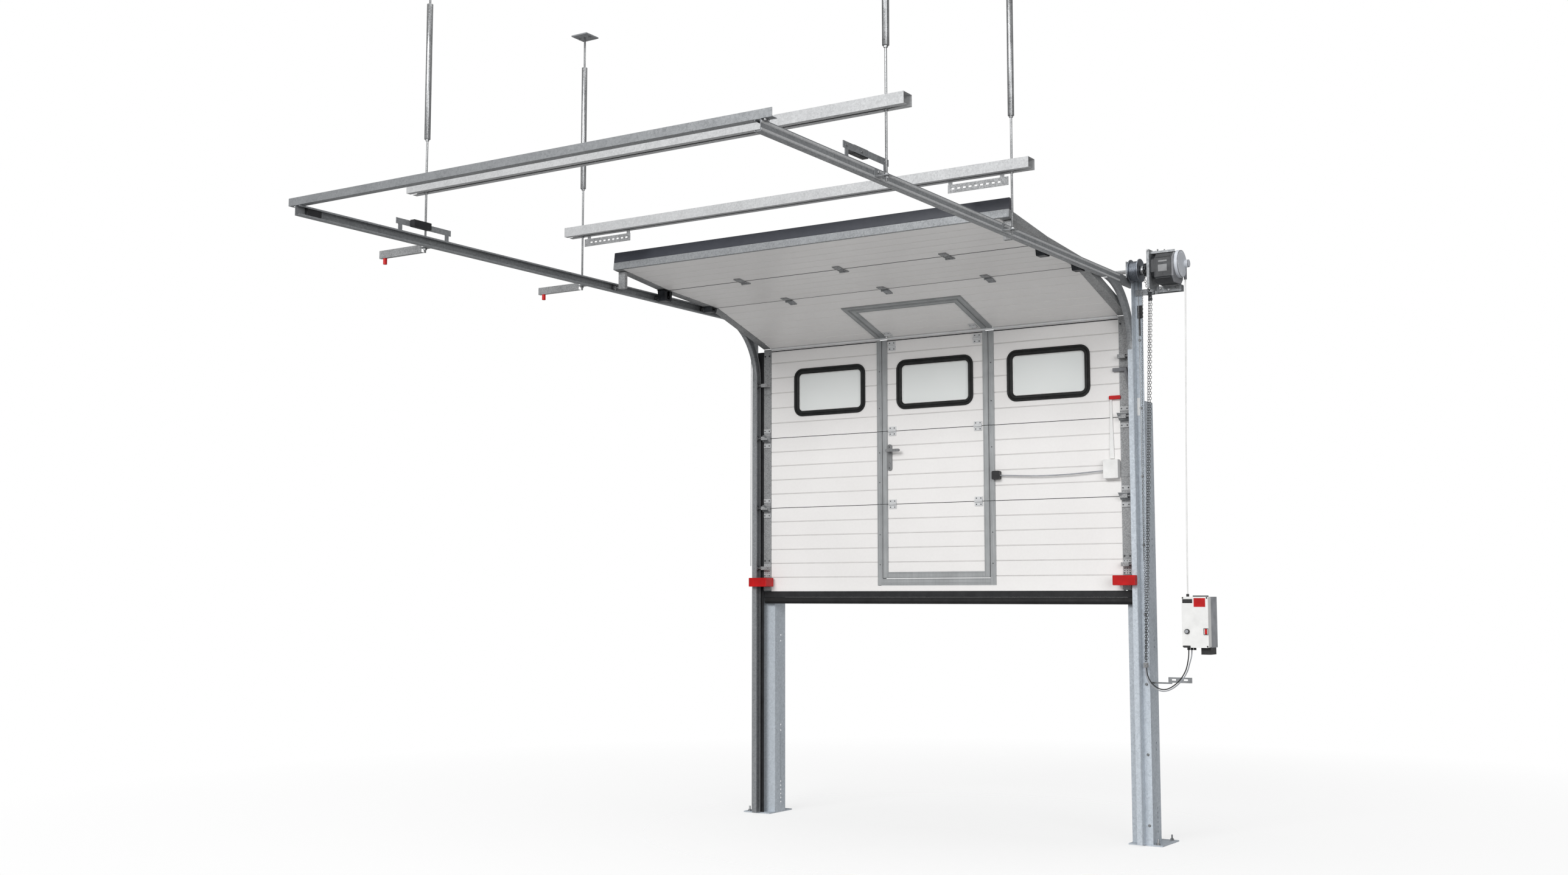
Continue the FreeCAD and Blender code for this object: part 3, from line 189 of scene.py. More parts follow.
def opal_pane():
    """Milky double acrylic: soft gloss over a bright haze."""
    f = Finish("glazing", IOR=1.49)
    f.colour(f.noise(1.6, 2), (0.25, (0.89, 0.905, 0.90)), (0.75, (0.935, 0.945, 0.94)))
    f.rough(f.noise(30, 3), 0.28, 0.4)
    return f.bump(f.noise(11, 2), 0.0005, 0.1).material


def grooved_seal():
    """Extruded rubber with fine ribs along its length."""
    f = Finish("black_rubber", Specular_IOR_Level=0.3)
    f.colour(f.noise(12, 5), (0.3, (0.07, 0.07, 0.075)), (0.7, (0.12, 0.12, 0.125)))
    f.rough(f.noise(40, 4), 0.5, 0.66)
    return f.bump(f.noise(420, 2, (0.05, 1, 1)), 0.0003, 0.2).material


# Rows give a name, the darkest and the lightest screen shades, then what the maker asks for.
ZINC_SHEETS = (
    ("galvanised", (0.48, 0.49, 0.50), (0.62, 0.63, 0.64), 95, 0.40, 0.56, 0.45),
    # The posts' zinc, also worn by the right track, where its lighter tone is painted light.
    ("post_zinc_and_painted_light", (0.68, 0.71, 0.74), (0.81, 0.84, 0.87), 85, 0.5, 0.66, 0.25),
    ("channel_zinc", (0.66, 0.665, 0.67), (0.78, 0.785, 0.79), 110, 0.50, 0.66, 0.15),
    ("cap_zinc", (0.42, 0.425, 0.43), (0.70, 0.705, 0.71), 190, 0.44, 0.6, 0.3),
)
BARE_METALS = (
    # Painted reflection: a near-white, barely metallic base stands for the fold rod's shine.
    ("rod_painted_reflection", (0.82, 0.825, 0.83), (0.93, 0.935, 0.94), 0.3, 0.42, 40, (0.05, 1, 1), 0.2),
    ("zinc_steel", (0.50, 0.505, 0.51), (0.68, 0.685, 0.69), 0.24, 0.38, 130, EVEN, 0.75),
    ("chain_steel", (0.24, 0.245, 0.25), (0.38, 0.385, 0.39), 0.3, 0.44, 130, EVEN, 0.6),
    ("anodised", (0.60, 0.61, 0.615), (0.68, 0.69, 0.695), 0.40, 0.52, 260, (1, 1, 0.03), 0.4),
    ("satin_steel", (0.46, 0.465, 0.47), (0.56, 0.565, 0.57), 0.36, 0.5, 180, (1, 1, 0.05), 0.35),
    # Dark steel, and painted shade where the roller housings and the corner dots wear it.
    ("dark_steel_and_painted_shade", (0.17, 0.175, 0.185), (0.30, 0.31, 0.325), 0.3, 0.46, 140),
    ("spring_steel", (0.26, 0.265, 0.27), (0.42, 0.43, 0.44), 0.32, 0.5, 200, (0.2, 1, 1)),
    ("aluminium", (0.42, 0.44, 0.47), (0.60, 0.62, 0.65), 0.38, 0.55, 150),
    ("bronze", (0.50, 0.36, 0.19), (0.66, 0.49, 0.27), 0.3, 0.45),
)
MOULDINGS = (
    ("hinge_white", (0.76, 0.765, 0.77), (0.84, 0.845, 0.85), 0.4, 0.52),
    # Painted shade of the panels' grooves, a little darker than the panel paint.
    ("painted_groove_shade", (0.77, 0.762, 0.757), (0.83, 0.822, 0.817), 0.4, 0.52),
    ("frame_rubber", (0.07, 0.075, 0.075), (0.13, 0.135, 0.135), 0.40, 0.56, 500, 0.0002, 0.0, 0.3),
    ("top_rubber", (0.19, 0.20, 0.23), (0.21, 0.22, 0.25), 0.34, 0.42, 300, 0.0002, 0.1),
    ("seal_dark", (0.11, 0.112, 0.12), (0.17, 0.173, 0.18), 0.45, 0.6, 700, 0.0002, 0.0, 0.3),
    ("black_plastic", (0.10, 0.10, 0.105), (0.165, 0.165, 0.17), 0.34, 0.5),
    ("red_plastic", (0.62, 0.02, 0.03), (0.78, 0.04, 0.05), 0.34, 0.48, 600, 0.0002, 0.0, 0.3),
    ("white_plastic", (0.86, 0.86, 0.855), (0.92, 0.92, 0.915), 0.32, 0.45),
    ("grey_plastic", (0.55, 0.56, 0.58), (0.66, 0.67, 0.69), 0.32, 0.46),
    ("opener_grey", (0.15, 0.155, 0.165), (0.23, 0.24, 0.25), 0.36, 0.52, 380, 0.0005),
    ("plate_grey", (0.44, 0.445, 0.45), (0.52, 0.525, 0.53), 0.3, 0.44),
    ("opener_mid", (0.40, 0.405, 0.42), (0.50, 0.505, 0.52), 0.34, 0.5, 380, 0.0004),
    ("opener_light", (0.74, 0.755, 0.78), (0.81, 0.825, 0.85), 0.34, 0.48, 380, 0.0004),
    ("nylon", (0.20, 0.20, 0.21), (0.29, 0.29, 0.30), 0.4, 0.55),
)
MATERIALS = {"panel_white": panel_paint(), "black_rubber": grooved_seal(), "glazing": opal_pane()}
for maker, rows in ((zinc_sheet, ZINC_SHEETS), (bare_metal, BARE_METALS), (moulded, MOULDINGS)):
    for row in rows:
        MATERIALS[row[0]] = maker(*row)


# ---- Cords -----------------------------------------------------------------------------------
def flex(name, points, diameter, length, lay, stiffness, material):
    """A cord on a NURBS line through its route's points, in metres."""
    curve = bpy.data.curves.new(name, "CURVE")
    curve.dimensions = "3D"
    curve.bevel_depth = diameter / 2
    curve.bevel_resolution = 5
    curve.use_fill_caps = True
    line = curve.splines.new("NURBS")
    line.points.add(len(points) - 1)
    for point, place in zip(line.points, points):
        point.co = (*place, 1)
    line.order_u = 3
    line.use_endpoint_u = True
    line.resolution_u = 12
    piece = bpy.data.objects.new(name, curve)
    bpy.context.scene.collection.objects.link(piece)
    curve.materials.append(MATERIALS[material])
    return piece, dict(exit=points[0], length=length, diameter=diameter, far_end="object",
                       stiffness=stiffness, lay=lay)


MOTOR_CABLE = [(1.735, -0.028, 3.4047), (1.728, -0.028, 3.025), (1.717, -0.028, 2.508),
               (1.7115, -0.028, 2.142), (1.706, -0.028, 1.777), (1.704, -0.028, 1.5033)]
GREY_LOOP = [(1.4395, -0.051, 1.062), (1.437, -0.050, 1.030), (1.458, -0.047, 0.971),
             (1.498, -0.044, 0.934), (1.545, -0.041, 0.920), (1.595, -0.037, 0.934),
             (1.652, -0.033, 0.979), (1.693, -0.029, 1.041), (1.709, -0.028, 1.100),
             (1.721, -0.028, 1.136), (1.722, -0.028, 1.171)]
BLACK_LOOP = [(1.448, -0.051, 1.062), (1.446, -0.050, 1.030), (1.466, -0.047, 0.978),
              (1.503, -0.044, 0.944), (1.545, -0.041, 0.930), (1.590, -0.037, 0.943),
              (1.644, -0.033, 0.986), (1.683, -0.029, 1.046), (1.697, -0.028, 1.104),
              (1.702, -0.028, 1.138), (1.703, -0.028, 1.171)]
LEAF_CORD = [(0.4803, -0.022, 2.262), (0.560, -0.023, 2.258), (0.660, -0.024, 2.252),
             (0.775, -0.025, 2.248), (0.890, -0.025, 2.248), (1.000, -0.024, 2.252),
             (1.100, -0.023, 2.258), (1.1887, -0.022, 2.264)]
CORDS = (
    ("motor_cable", MOTOR_CABLE, 0.008, 1.902, "taut", "medium", "white_plastic", "frame"),
    ("grey_loop_cable", GREY_LOOP, 0.007, 0.527, "hanging", "medium", "grey_plastic", "frame"),
    ("black_loop_cable", BLACK_LOOP, 0.007, 0.493, "hanging", "medium", "black_plastic", "frame"),
    ("leaf_cord", LEAF_CORD, 0.008, 0.709, "hanging", "medium", "grey_plastic", "lower_leaf"),
)
for name, points, diameter, length, lay, stiffness, material, body in CORDS:
    piece, facts = flex("flex_" + name, points, diameter, length, lay, stiffness, material)
    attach(piece, body)
    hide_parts(name)


# ---- The door's measures, in millimetres -----------------------------------------------------
SIDES = (-1, 1)
LEAF_LOW = 1524
LINE_ONE, LINE_TWO, LINE_THREE = 2102, 2592, 3227   # the hinge lines, from the lowest
PANEL_EDGE = 1288                                   # just inside the ends of the panels
FACE_Y, CAP_Y, TRACK_Y = -6, -6.3, -5.4             # faces of the leaf's bars, end caps, tracks
HINGE_X = 318                                       # hinge plates beside the pass door
SHAFT = (-100, 3475)                                # the spring shaft's y and z
OPENER_END = (-95, 3490)                            # the round end cover's y and z
OPENER_FACE = -183.4
WINDOWS_X, WINDOW_Z = (-813, 0, 813), 2901
WINDOW_HALF, WINDOW_ROUND = (285, 167), 65


def hinge(y, z, tilt):
    """Places what was drawn upright on a leaning section."""
    return Matrix.Translation((0, y, z)) @ Matrix.Rotation(math.radians(tilt), 4, "X")


UPRIGHT = Matrix.Identity(4)
FOURTH = hinge(0, LINE_THREE, 73.5)
FIFTH = hinge(-660.6, 3422.7, 86.2)
SIXTH = hinge(-1205.4, 3458.9, 83.2)


def outward(side):
    """The axis that points from the door's middle to one side."""
    return "x" if side > 0 else "-x"


def mirrored(points):
    """Points and their mirror images across the door."""
    return list(points) + [(-x, *rest) for x, *rest in points]


def rectangle(half_x, half_z):
    return ((-half_x, -half_z), (half_x, -half_z), (half_x, half_z), (-half_x, half_z))


def on_circle(x, centre, radius, angle):
    """A point of a circle that lies in a plane of constant x."""
    return (x, centre[0] + radius * math.cos(angle), centre[1] + radius * math.sin(angle))


def middle_of(node):
    """The middle of a CAD node's box, in millimetres."""
    return tuple((low + high) / 2 / MM for low, high in zip(*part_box(node)))


# ---- Building blocks -------------------------------------------------------------------------
TURNS = {
    "x": Matrix.Rotation(math.pi / 2, 4, "Y"), "-x": Matrix.Rotation(-math.pi / 2, 4, "Y"),
    "-y": Matrix.Rotation(math.pi / 2, 4, "X"),
    "z": Matrix.Identity(4), "-z": Matrix.Rotation(math.pi, 4, "X"),
}
WELD_GAP = 0.00001
WASHER_HIGH = 1.8
FLATS_TO_CORNER = 1.732  # width across the flats over the corner's radius


def soften(piece, width, angle):
    """Rounds a piece's sharp edges."""
    rounding = piece.modifiers.new("Edges", "BEVEL")
    rounding.width = width * MM
    rounding.segments = 2
    rounding.limit_method = "ANGLE"
    rounding.angle_limit = math.radians(angle)
    rounding.harden_normals = True


class Shape:
    """One mesh of closed solids, drawn in millimetres."""

    def __init__(self, place=UPRIGHT):
        self.mesh = bmesh.new()
        self.place = place

    def skin(self, rings, loop=False):
        """Faces between equal rings of points, with end caps unless the rings form a loop."""
        rows = [[self.mesh.verts.new(self.place @ Vector(point) * MM) for point in ring]
                for ring in rings]
        pairs = list(zip(rows, rows[1:])) + ([(rows[-1], rows[0])] if loop else [])
        for low, high in pairs:
            for index in range(len(low)):
                after = (index + 1) % len(low)
                self.mesh.faces.new((low[index], low[after], high[after], high[index]))
        if not loop:
            self.mesh.faces.new(rows[0][::-1])
            self.mesh.faces.new(rows[-1])
        return self

    def block(self, low, high):
        (a, b, c), (d, e, f) = low, high
        return self.skin([[(a, b, z), (d, b, z), (d, e, z), (a, e, z)] for z in (c, f)])

    def turned(self, base, along, outline, steps=24, loop=False):
        """Spins (radius, height) points about an axis through base."""
        turn = Matrix.Translation(base) @ TURNS[along]
        angles = [2 * math.pi * index / steps for index in range(steps)]
        return self.skin([[turn @ Vector((radius * math.cos(a), radius * math.sin(a), height))
                           for a in angles] for radius, height in outline], loop)

    def prism(self, base, along, outline, levels):
        """An outline at several heights, shrunk about its middle by each height's share."""
        turn = Matrix.Translation(base) @ TURNS[along]
        return self.skin([[turn @ Vector((x * share, y * share, height)) for x, y in outline]
                          for height, share in levels])

    def swept(self, path, radius, steps, loop=False):
        """A round bar that follows a path of points."""
        count = len(path)
        path = [Vector(point) for point in path]
        rings, up = [], None
        for index, point in enumerate(path):
            before = path[(index - 1) % count] if loop or index else point
            after = path[(index + 1) % count] if loop or index < count - 1 else point
            way = (after - before).normalized()
            if up is None:
                up = way.orthogonal().normalized()
            up = (up - way * up.dot(way)).normalized()
            side = way.cross(up)
            rings.append([point + radius * (up * math.cos(a) + side * math.sin(a))
                          for a in (2 * math.pi * s / steps for s in range(steps))])
        return self.skin(rings, loop)

    def framed(self, centre, half, radius, outline, steps=7):
        """A rounded frame in the wall's plane: the outline is its section as (inset, y) points."""
        corners = ((1, 1, 0), (-1, 1, 90), (-1, -1, 180), (1, -1, 270))
        rings = []
        for inset, y in outline:
            ring = []
            for side, level, start in corners:
                x = centre[0] + side * (half[0] - radius)
                z = centre[1] + level * (half[1] - radius)
                for step in range(steps + 1):
                    angle = math.radians(start + 90 * step / steps)
                    ring.append((x + (radius - inset) * math.cos(angle), y,
                                 z + (radius - inset) * math.sin(angle)))
            rings.append(ring)
        return self.skin(rings, True)

    def ridge(self, start, end, across, wide, high):
        """A long bead with sloping sides, standing off a face towards -y."""
        start, end, across = Vector(start), Vector(end), Vector(across)
        outline = ((-wide / 2, 0.6), (-wide * 0.3, -high), (wide * 0.3, -high), (wide / 2, 0.6))
        return self.skin([[point + across * side + Vector((0, out, 0)) for side, out in outline]
                          for point in (start, end)])

    def hexagon(self, base, along, across, height, turn):
        """A bolt head or nut with a chamfered crown."""
        corner = across / FLATS_TO_CORNER
        outline = [(corner * math.cos(turn + math.pi * s / 3),
                    corner * math.sin(turn + math.pi * s / 3)) for s in range(6)]
        return self.prism(base, along, outline,
                          ((0, 0.93), (height * 0.12, 1), (height * 0.8, 1), (height, 0.86)))

    def bolt(self, base, along, across, head, flange, stud=0):
        """A flanged hexagon head, or a nut if a threaded stud stands out of it."""
        self.turned(base, along, ((flange, 0), (flange, WASHER_HIGH * 0.7),
                                  (flange - 0.5, WASHER_HIGH)), 20)
        seat = Vector(base) + TURNS[along] @ Vector((0, 0, 1)) * WASHER_HIGH
        self.hexagon(seat, along, across, head, random.random())
        if stud:
            thread = [(across * (0.27 + 0.03 * (step % 2)), head + step * stud / 14)
                      for step in range(15)]
            self.turned(seat, along, thread, 14)

    def screw(self, base, along, radius):
        """A low domed head with a round recess."""
        dome = [(radius, 0), (radius, 0.8), (radius * 0.86, 1.9), (radius * 0.55, 2.7),
                (radius * 0.34, 2.9), (radius * 0.26, 1.9)]
        return self.turned(base, along, dome, 14)

    def four_screws(self, x, z, reach_x, reach_z):
        """The screws at the corners of a hinge plate."""
        for dx in (-reach_x, reach_x):
            for dz in (-reach_z, reach_z):
                self.screw((x + dx, FACE_Y, z + dz), "-y", 4.2)

    def made(self, name, body, material, bevel=0.0, replaced=(), smooth=32):
        """Turns the solids into a piece that rides on a body."""
        bmesh.ops.recalc_face_normals(self.mesh, faces=self.mesh.faces)
        data = bpy.data.meshes.new(name)
        self.mesh.to_mesh(data)
        self.mesh.free()
        data.shade_smooth()
        data.set_sharp_from_angle(angle=math.radians(smooth))
        piece = bpy.data.objects.new(name, data)
        bpy.context.scene.collection.objects.link(piece)
        if bevel:
            soften(piece, bevel, 40)
        data.materials.append(MATERIALS[material])
        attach(piece, body)
        if replaced:
            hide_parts(*replaced)


def cad_piece(node, material, bevel):
    """Gives a CAD node its finish and softened edges."""
    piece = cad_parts[node]
    piece.data.materials.clear()
    piece.data.materials.append(MATERIALS[material])
    weld = piece.modifiers.new("Weld", "WELD")
    weld.merge_threshold = WELD_GAP
    soften(piece, bevel, 35)


def islands(node):
    """A CAD node's mesh, and the vertices of each separate solid in it."""
    whole = bmesh.new()
    whole.from_mesh(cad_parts[node].data)
    bmesh.ops.remove_doubles(whole, verts=whole.verts, dist=WELD_GAP)
    whole.verts.index_update()
    whole.faces.index_update()
    found, seen = [], set()
    for start in whole.verts:
        if start.index in seen:
            continue
        group, queue = [], [start]
        seen.add(start.index)
        while queue:
            vert = queue.pop()
            group.append(vert)
            for edge in vert.link_edges:
                other = edge.other_vert(vert)
                if other.index not in seen:
                    seen.add(other.index)
                    queue.append(other)
        found.append(group)
    return whole, found


def split(node, body, rules, bevel):
    """Shows a CAD node as several pieces: (name, material, test of a solid's middle)."""
    whole, groups = islands(node)
    for position, (name, material, chosen) in enumerate(rules):
        part = Shape()
        for group in groups:
            if chosen(sum((vert.co for vert in group), Vector()) / len(group) / MM):
                made = {vert: part.mesh.verts.new(vert.co) for vert in group}
                faces = {face.index: face for vert in group for face in vert.link_faces}
                for index in sorted(faces):
                    part.mesh.faces.new([made[vert] for vert in faces[index].verts])
        part.made(name, body, material, bevel, (node,) if position == 0 else ())
    whole.free()


# ---- CAD nodes that keep their shape ---------------------------------------------------------
# By finish: the rounding of the edges in millimetres, and the nodes that wear it.
KEPT = {
    "panel_white": (0.5, "section_1 section_2 section_3 section_4 section_5 section_6"),
    "galvanised": (0.4, "bend_tracks overhead_rails ceiling_plates shaft_brackets"),
    "cap_zinc": (0.4, "fittings_top"),
    "post_zinc_and_painted_light": (0.8, "post_left post_right"),
    "zinc_steel": (0.3, "hanger_rods spring_shaft lifting_cables"),
    "satin_steel": (2.0, "handle_plate handle_lever"),
    "anodised": (1.0, "wicket_frame wicket_leaf_bars wicket_head"),
    "seal_dark": (1.5, "side_seals track_buffers"),
    "red_plastic": (1.5, "rocker_switch"),
    "white_plastic": (0.8, "cable_cover control_box_cover"),
    "grey_plastic": (1.2, "control_box_base"),
    "opener_grey": (2.0, "opener_housing opener_motor"),
    "opener_mid": (2.0, "opener_cover"),
    "glazing": (0.8, "window_panes"),
    "bronze": (0.5, "worm_wheel"),
}
for material, (bevel, names) in KEPT.items():
    for name in names.split():
        cad_piece(name, material, bevel)

rail_low, rail_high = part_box("overhead_rails")
rail_beads = Shape()
for side in SIDES:
    for level in (3399, 3431):
        rail_beads.skin([[(side * 1402, y, level - 6), (side * 1405, y, level - 3),
                          (side * 1405, y, level + 3), (side * 1402, y, level + 6)]
                         for y in (rail_low.y / MM + 4, rail_high.y / MM - 240)])
rail_beads.made("rail_beads", "frame", "channel_zinc", 0, (), 30)


def on_arm(middle):
    return middle.y < -9 and 2800 < middle.z < 2890


def beside_door(middle):
    """Whether a solid belongs to a hinge plate next to the pass door."""
    return abs(abs(middle.x) - HINGE_X) < 5


def at_edge(middle):
    """Whether a solid belongs to an end cap or what is on it."""
    return abs(middle.x) > 1250


split("fittings_lower", "lower_leaf", (
    ("lower_hinges", "hinge_white", beside_door),
    # The fold rod's near-white tone is a painted reflection.
    ("fold_rod", "rod_painted_reflection", lambda middle: abs(middle.x) < 5),
    ("bent_arm", "opener_mid", on_arm),
    ("lower_caps", "cap_zinc", lambda middle: at_edge(middle) and not on_arm(middle))), 0.4)
split("fittings_upper", "upper_leaf", (
    ("upper_hinges", "hinge_white", beside_door),
    ("knee_hinges", "galvanised", lambda middle: abs(middle.x) < 750 and not beside_door(middle)),
    ("upper_caps", "cap_zinc", at_edge)), 0.4)
split("top_seal", "top_leaf", (
    ("top_strip", "galvanised", lambda middle: middle.z < 3556),
    ("top_lip", "top_rubber", lambda middle: middle.z >= 3556)), 1.5)
split("bottom_seal", "lower_leaf", (
    ("seal_carrier", "seal_dark", lambda middle: middle.z > 1500),
    ("floor_seal", "black_rubber", lambda middle: middle.z <= 1500)), 1.0)
split("leaf_boxes", "lower_leaf", (
    ("junction_box", "white_plastic", lambda middle: middle.x > 1000),
    ("slack_switch", "black_plastic", lambda middle: middle.x <= 1000)), 3.0)
split("upright_tracks", "frame", (
    ("track_left", "galvanised", lambda middle: middle.x < 0),
    # Painted light: the right track is the same steel as the left, and wears the posts' lighter
    # zinc because its side is the lit one.
    ("track_right_painted_lit", "post_zinc_and_painted_light", lambda middle: middle.x > 0)), 0.4)
split("cross_channels", "frame", (
    ("channels", "channel_zinc", lambda middle: middle.z > 3690),
    ("rear_bar", "galvanised", lambda middle: middle.z < 3600),
    ("braces", "cap_zinc", lambda middle: 3600 <= middle.z <= 3690)), 0.5)
split("adjuster_arms", "frame", (
    ("adjuster_bars", "cap_zinc", lambda middle: middle.z > 3370),
    ("adjuster_knobs", "red_plastic", lambda middle: middle.z <= 3370)), 1.2)
split("cable_fixings", "frame", (
    ("glands", "black_plastic", lambda middle: middle.x > 1690),
    ("chain_clip", "zinc_steel", lambda middle: middle.x < 1470),
    ("wall_bracket", "galvanised", lambda middle: 1470 <= middle.x <= 1690)), 1.0)
split("red_covers", "lower_leaf", (
    ("catch_covers", "red_plastic", lambda middle: middle.z < 2000),
    ("strip_flag", "red_plastic", lambda middle: middle.z >= 2000)), 5.0)


# ---- Windows and pass door trim --------------------------------------------------------------
# Sections of a window's frame, as (inset, y) points. The rubber holds both faces of the panel.
RUBBER = ((0, 0), (0, -6), (2.5, -8.8), (9, -8.8), (12, -7), (13.5, -3.5), (17, -3.5), (18.5, -7),
          (21.5, -8.8), (30, -8.8), (35, -5), (38, 0), (38, 40), (35, 45), (30, 48.8), (21.5, 48.8),
          (18.5, 47), (17, 43.5), (13.5, 43.5), (12, 47), (9, 48.8), (2.5, 48.8), (0, 46), (0, 40),
          (14.2, 40), (14.2, 0))
BEAD = ((37.8, 5), (41.5, 6), (42.5, 9), (42.5, 11.6), (37.8, 11.6))
rubbers, beads = Shape(), Shape()
for x in WINDOWS_X:
    rubbers.framed((x, WINDOW_Z), WINDOW_HALF, WINDOW_ROUND, RUBBER)
    beads.framed((x, WINDOW_Z), WINDOW_HALF, WINDOW_ROUND, BEAD)
rubbers.made("window_rubbers", "lower_leaf", "frame_rubber", 0, ("window_frames",), 30)
beads.made("window_beads", "lower_leaf", "white_plastic", 0, (), 40)

ALONG_X, ALONG_Z = (1, 0, 0), (0, 0, 1)
# Raised lines on the pass door's bars. JAMB_LINES are (x, width, height), SILL_LINES are
# (z, width, half length), and the head's are (x, top) and (z, half length) along section four.
JAMB_LINES = ((404, 5, 2.2), (412, 3, 1.4), (429, 6, 2.6), (390, 5, 2.2), (361, 5, 2.2))
SILL_LINES = ((1570, 5, 396), (1579, 3, 396), (1600, 5, 396), (1615, 5, 392), (1642, 5, 354))
HEAD_JAMB_LINES = ((404, 462), (429, 488), (390, 448), (361, 418))
HEAD_LINES = ((466, 400), (487, 430), (447, 388), (421, 354))
trim = Shape()
for low, high in ((1616, LINE_ONE - 3), (LINE_ONE + 3, LINE_TWO - 3), (LINE_TWO + 3, 3208)):
    for side in SIDES:
        for x, wide, tall in JAMB_LINES:
            trim.ridge((side * x, FACE_Y, low), (side * x, FACE_Y, high), ALONG_X, wide, tall)
for z, wide, reach in SILL_LINES:
    trim.ridge((-reach, FACE_Y, z), (reach, FACE_Y, z), ALONG_Z, wide, 2.2)
trim.made("door_trim", "lower_leaf", "anodised", 0, (), 30)
head_trim = Shape(FOURTH)
for side in SIDES:
    for x, high in HEAD_JAMB_LINES:
        head_trim.ridge((side * x, FACE_Y, 20), (side * x, FACE_Y, high), ALONG_X, 5, 2.2)
for z, reach in HEAD_LINES:
    head_trim.ridge((-reach, FACE_Y, z), (reach, FACE_Y, z), ALONG_Z, 5, 2.2)
head_trim.made("head_trim", "upper_leaf", "anodised", 0, (), 30)


# ---- Springs, drums, rollers -----------------------------------------------------------------
def helix(x_from, x_to, turns, radius, steps=18):
    """Points of a coil round the spring shaft."""
    total = int(turns * steps)
    return [on_circle(x_from + (x_to - x_from) * index / total, SHAFT, radius,
                      2 * math.pi * index / steps) for index in range(total + 1)]


CONE = ((15, 0), (33, 0), (36, 4), (36, 14), (33, 18), (38.6, 22), (38.6, 50), (36, 54), (15, 54))
springs, cones = Shape(), Shape()
for side in SIDES:
    springs.swept(helix(side * 165, side * 1095, 116, 42.7), 3.7, 6)
    for x, way in ((side * 142, side), (side * 1118, -side)):
        cones.turned((x, *SHAFT), outward(way), CONE, 28, True)
        for quarter in range(4):
            angle = math.pi / 4 + quarter * math.pi / 2
            cones.swept([on_circle(x + 9 * way, SHAFT, radius, angle) for radius in (34, 46)],
                        5, 10)
springs.made("spring_coils", "frame", "spring_steel", 0, ("torsion_springs",), 60)
cones.made("spring_cones", "frame", "aluminium", 0.5)

DRUM = [(15, 0), (72, 0), (72, 5)]
for groove in range(9):
    start = 6 + groove * 5.6
    DRUM += [(60, start), (57.6, start + 1.4), (57.6, start + 3.2), (60, start + 4.6)]
DRUM += [(72, 58), (72, 63.5), (15, 63.5)]
HUB = ((15, 0), (28, 0), (27, 9), (15, 9))
drums = Shape()
for side in SIDES:
    drums.turned((side * 1418, *SHAFT), outward(side), DRUM, 48, True)
    drums.turned((side * 1418, *SHAFT), outward(-side), HUB, 24, True)
drums.made("lift_drums", "shaft", "aluminium", 0.4, ("cable_drums",))

TYRE = ((13, 0.5), (19.4, 0.5), (21, 2.4), (21, 13.6), (19.4, 15.5), (13, 15.5))
STEM = ((4.6, 0), (5.4, 1), (5.4, 80), (8, 81), (12.7, 82), (12.7, 97), (10, 98), (3, 98))
for name in ("bottom", "first", "second", "third", "fourth", "fifth", "top"):
    _, y, z = middle_of("rollers_" + name)
    tyres, stems = Shape(), Shape()
    for side in SIDES:
        tyres.turned((side * 1380, y, z), outward(side), TYRE, 30, True)
        stems.turned((side * 1298, y, z), outward(side), STEM, 20)
    tyres.made(f"tyres_{name}", "roller_pair_" + name, "nylon", 0, ("rollers_" + name,))
    stems.made(f"stems_{name}", "roller_pair_" + name, "zinc_steel")


def hopper(shape, x_from, x_to, y, levels):
    """A block whose half width along y changes with height."""
    shape.skin([[(x_from, y - wide, level), (x_to, y - wide, level), (x_to, y + wide, level),
                 (x_from, y + wide, level)] for level, wide in levels])


housings = Shape()
for name, high in (("fourth", 3428), ("fifth", 3456)):
    _, y, z = middle_of("rollers_" + name)
    for side in SIDES:
        hopper(housings, side * 1296, side * 1352, y, ((z - 26, 28), (z - 20, 34), (high, 44)))
        hopper(housings, side * 1288, side * 1352, y, ((high, 52), (high + 4, 52)))
# Painted shade: the housings are dark because they face away from the light, not because of their
# steel.
housings.made("roller_housings_painted_shade", "top_leaf", "dark_steel_and_painted_shade", 2.0)


# ---- Hardware on the end caps ----------------------------------------------------------------
def shelf(shape, side, levels):
    """A block across an end cap: each level gives a height, the outer and the inner reach."""
    inner, outer = side * 1294, side * 1358
    shape.skin([[(inner, -7, z), (outer, -7, z), (outer, near, z), (inner, far, z)]
                for z, near, far in levels])


CAP_X = 1321
plates, hole_shade_dots, brackets, wedges = Shape(), Shape(), Shape(), Shape()
for z in (LINE_ONE, LINE_TWO):
    for side in SIDES:
        for level in (z - 52, z + 52):
            plates.prism((side * CAP_X, CAP_Y, level), "-y", rectangle(28, 14),
                         ((0, 1), (1.6, 1), (2.4, 0.96)))
        shelf(brackets, side, ((z + 18, -17, -78), (z + 21, -17, -78)))
        shelf(wedges, side, ((z - 24, -9 - 20 / 6, -29), (z + 17.5, -9 - 62 / 6, -71)))
for side in SIDES:
    plates.prism((side * CAP_X, CAP_Y, 1668), "-y", rectangle(27, 45),
                 ((0, 1), (1.2, 1), (1.8, 0.98)))
    # Painted shade: dark domes stand for the shaded holes of the perforated corner plate.
    for dx in (-17, 0, 17):
        for z in (1632, 1646, 1660, 1706):
            hole_shade_dots.screw((side * CAP_X + dx, -8, z), "-y", 3)
plates.made("line_plates", "lower_leaf", "channel_zinc", 0.3)
hole_shade_dots.made("corner_hole_shade", "lower_leaf", "dark_steel_and_painted_shade", 0, (), 30)
brackets.made("line_brackets", "lower_leaf", "channel_zinc", 0.3)
wedges.made("line_wedges", "lower_leaf", "galvanised", 1.0)


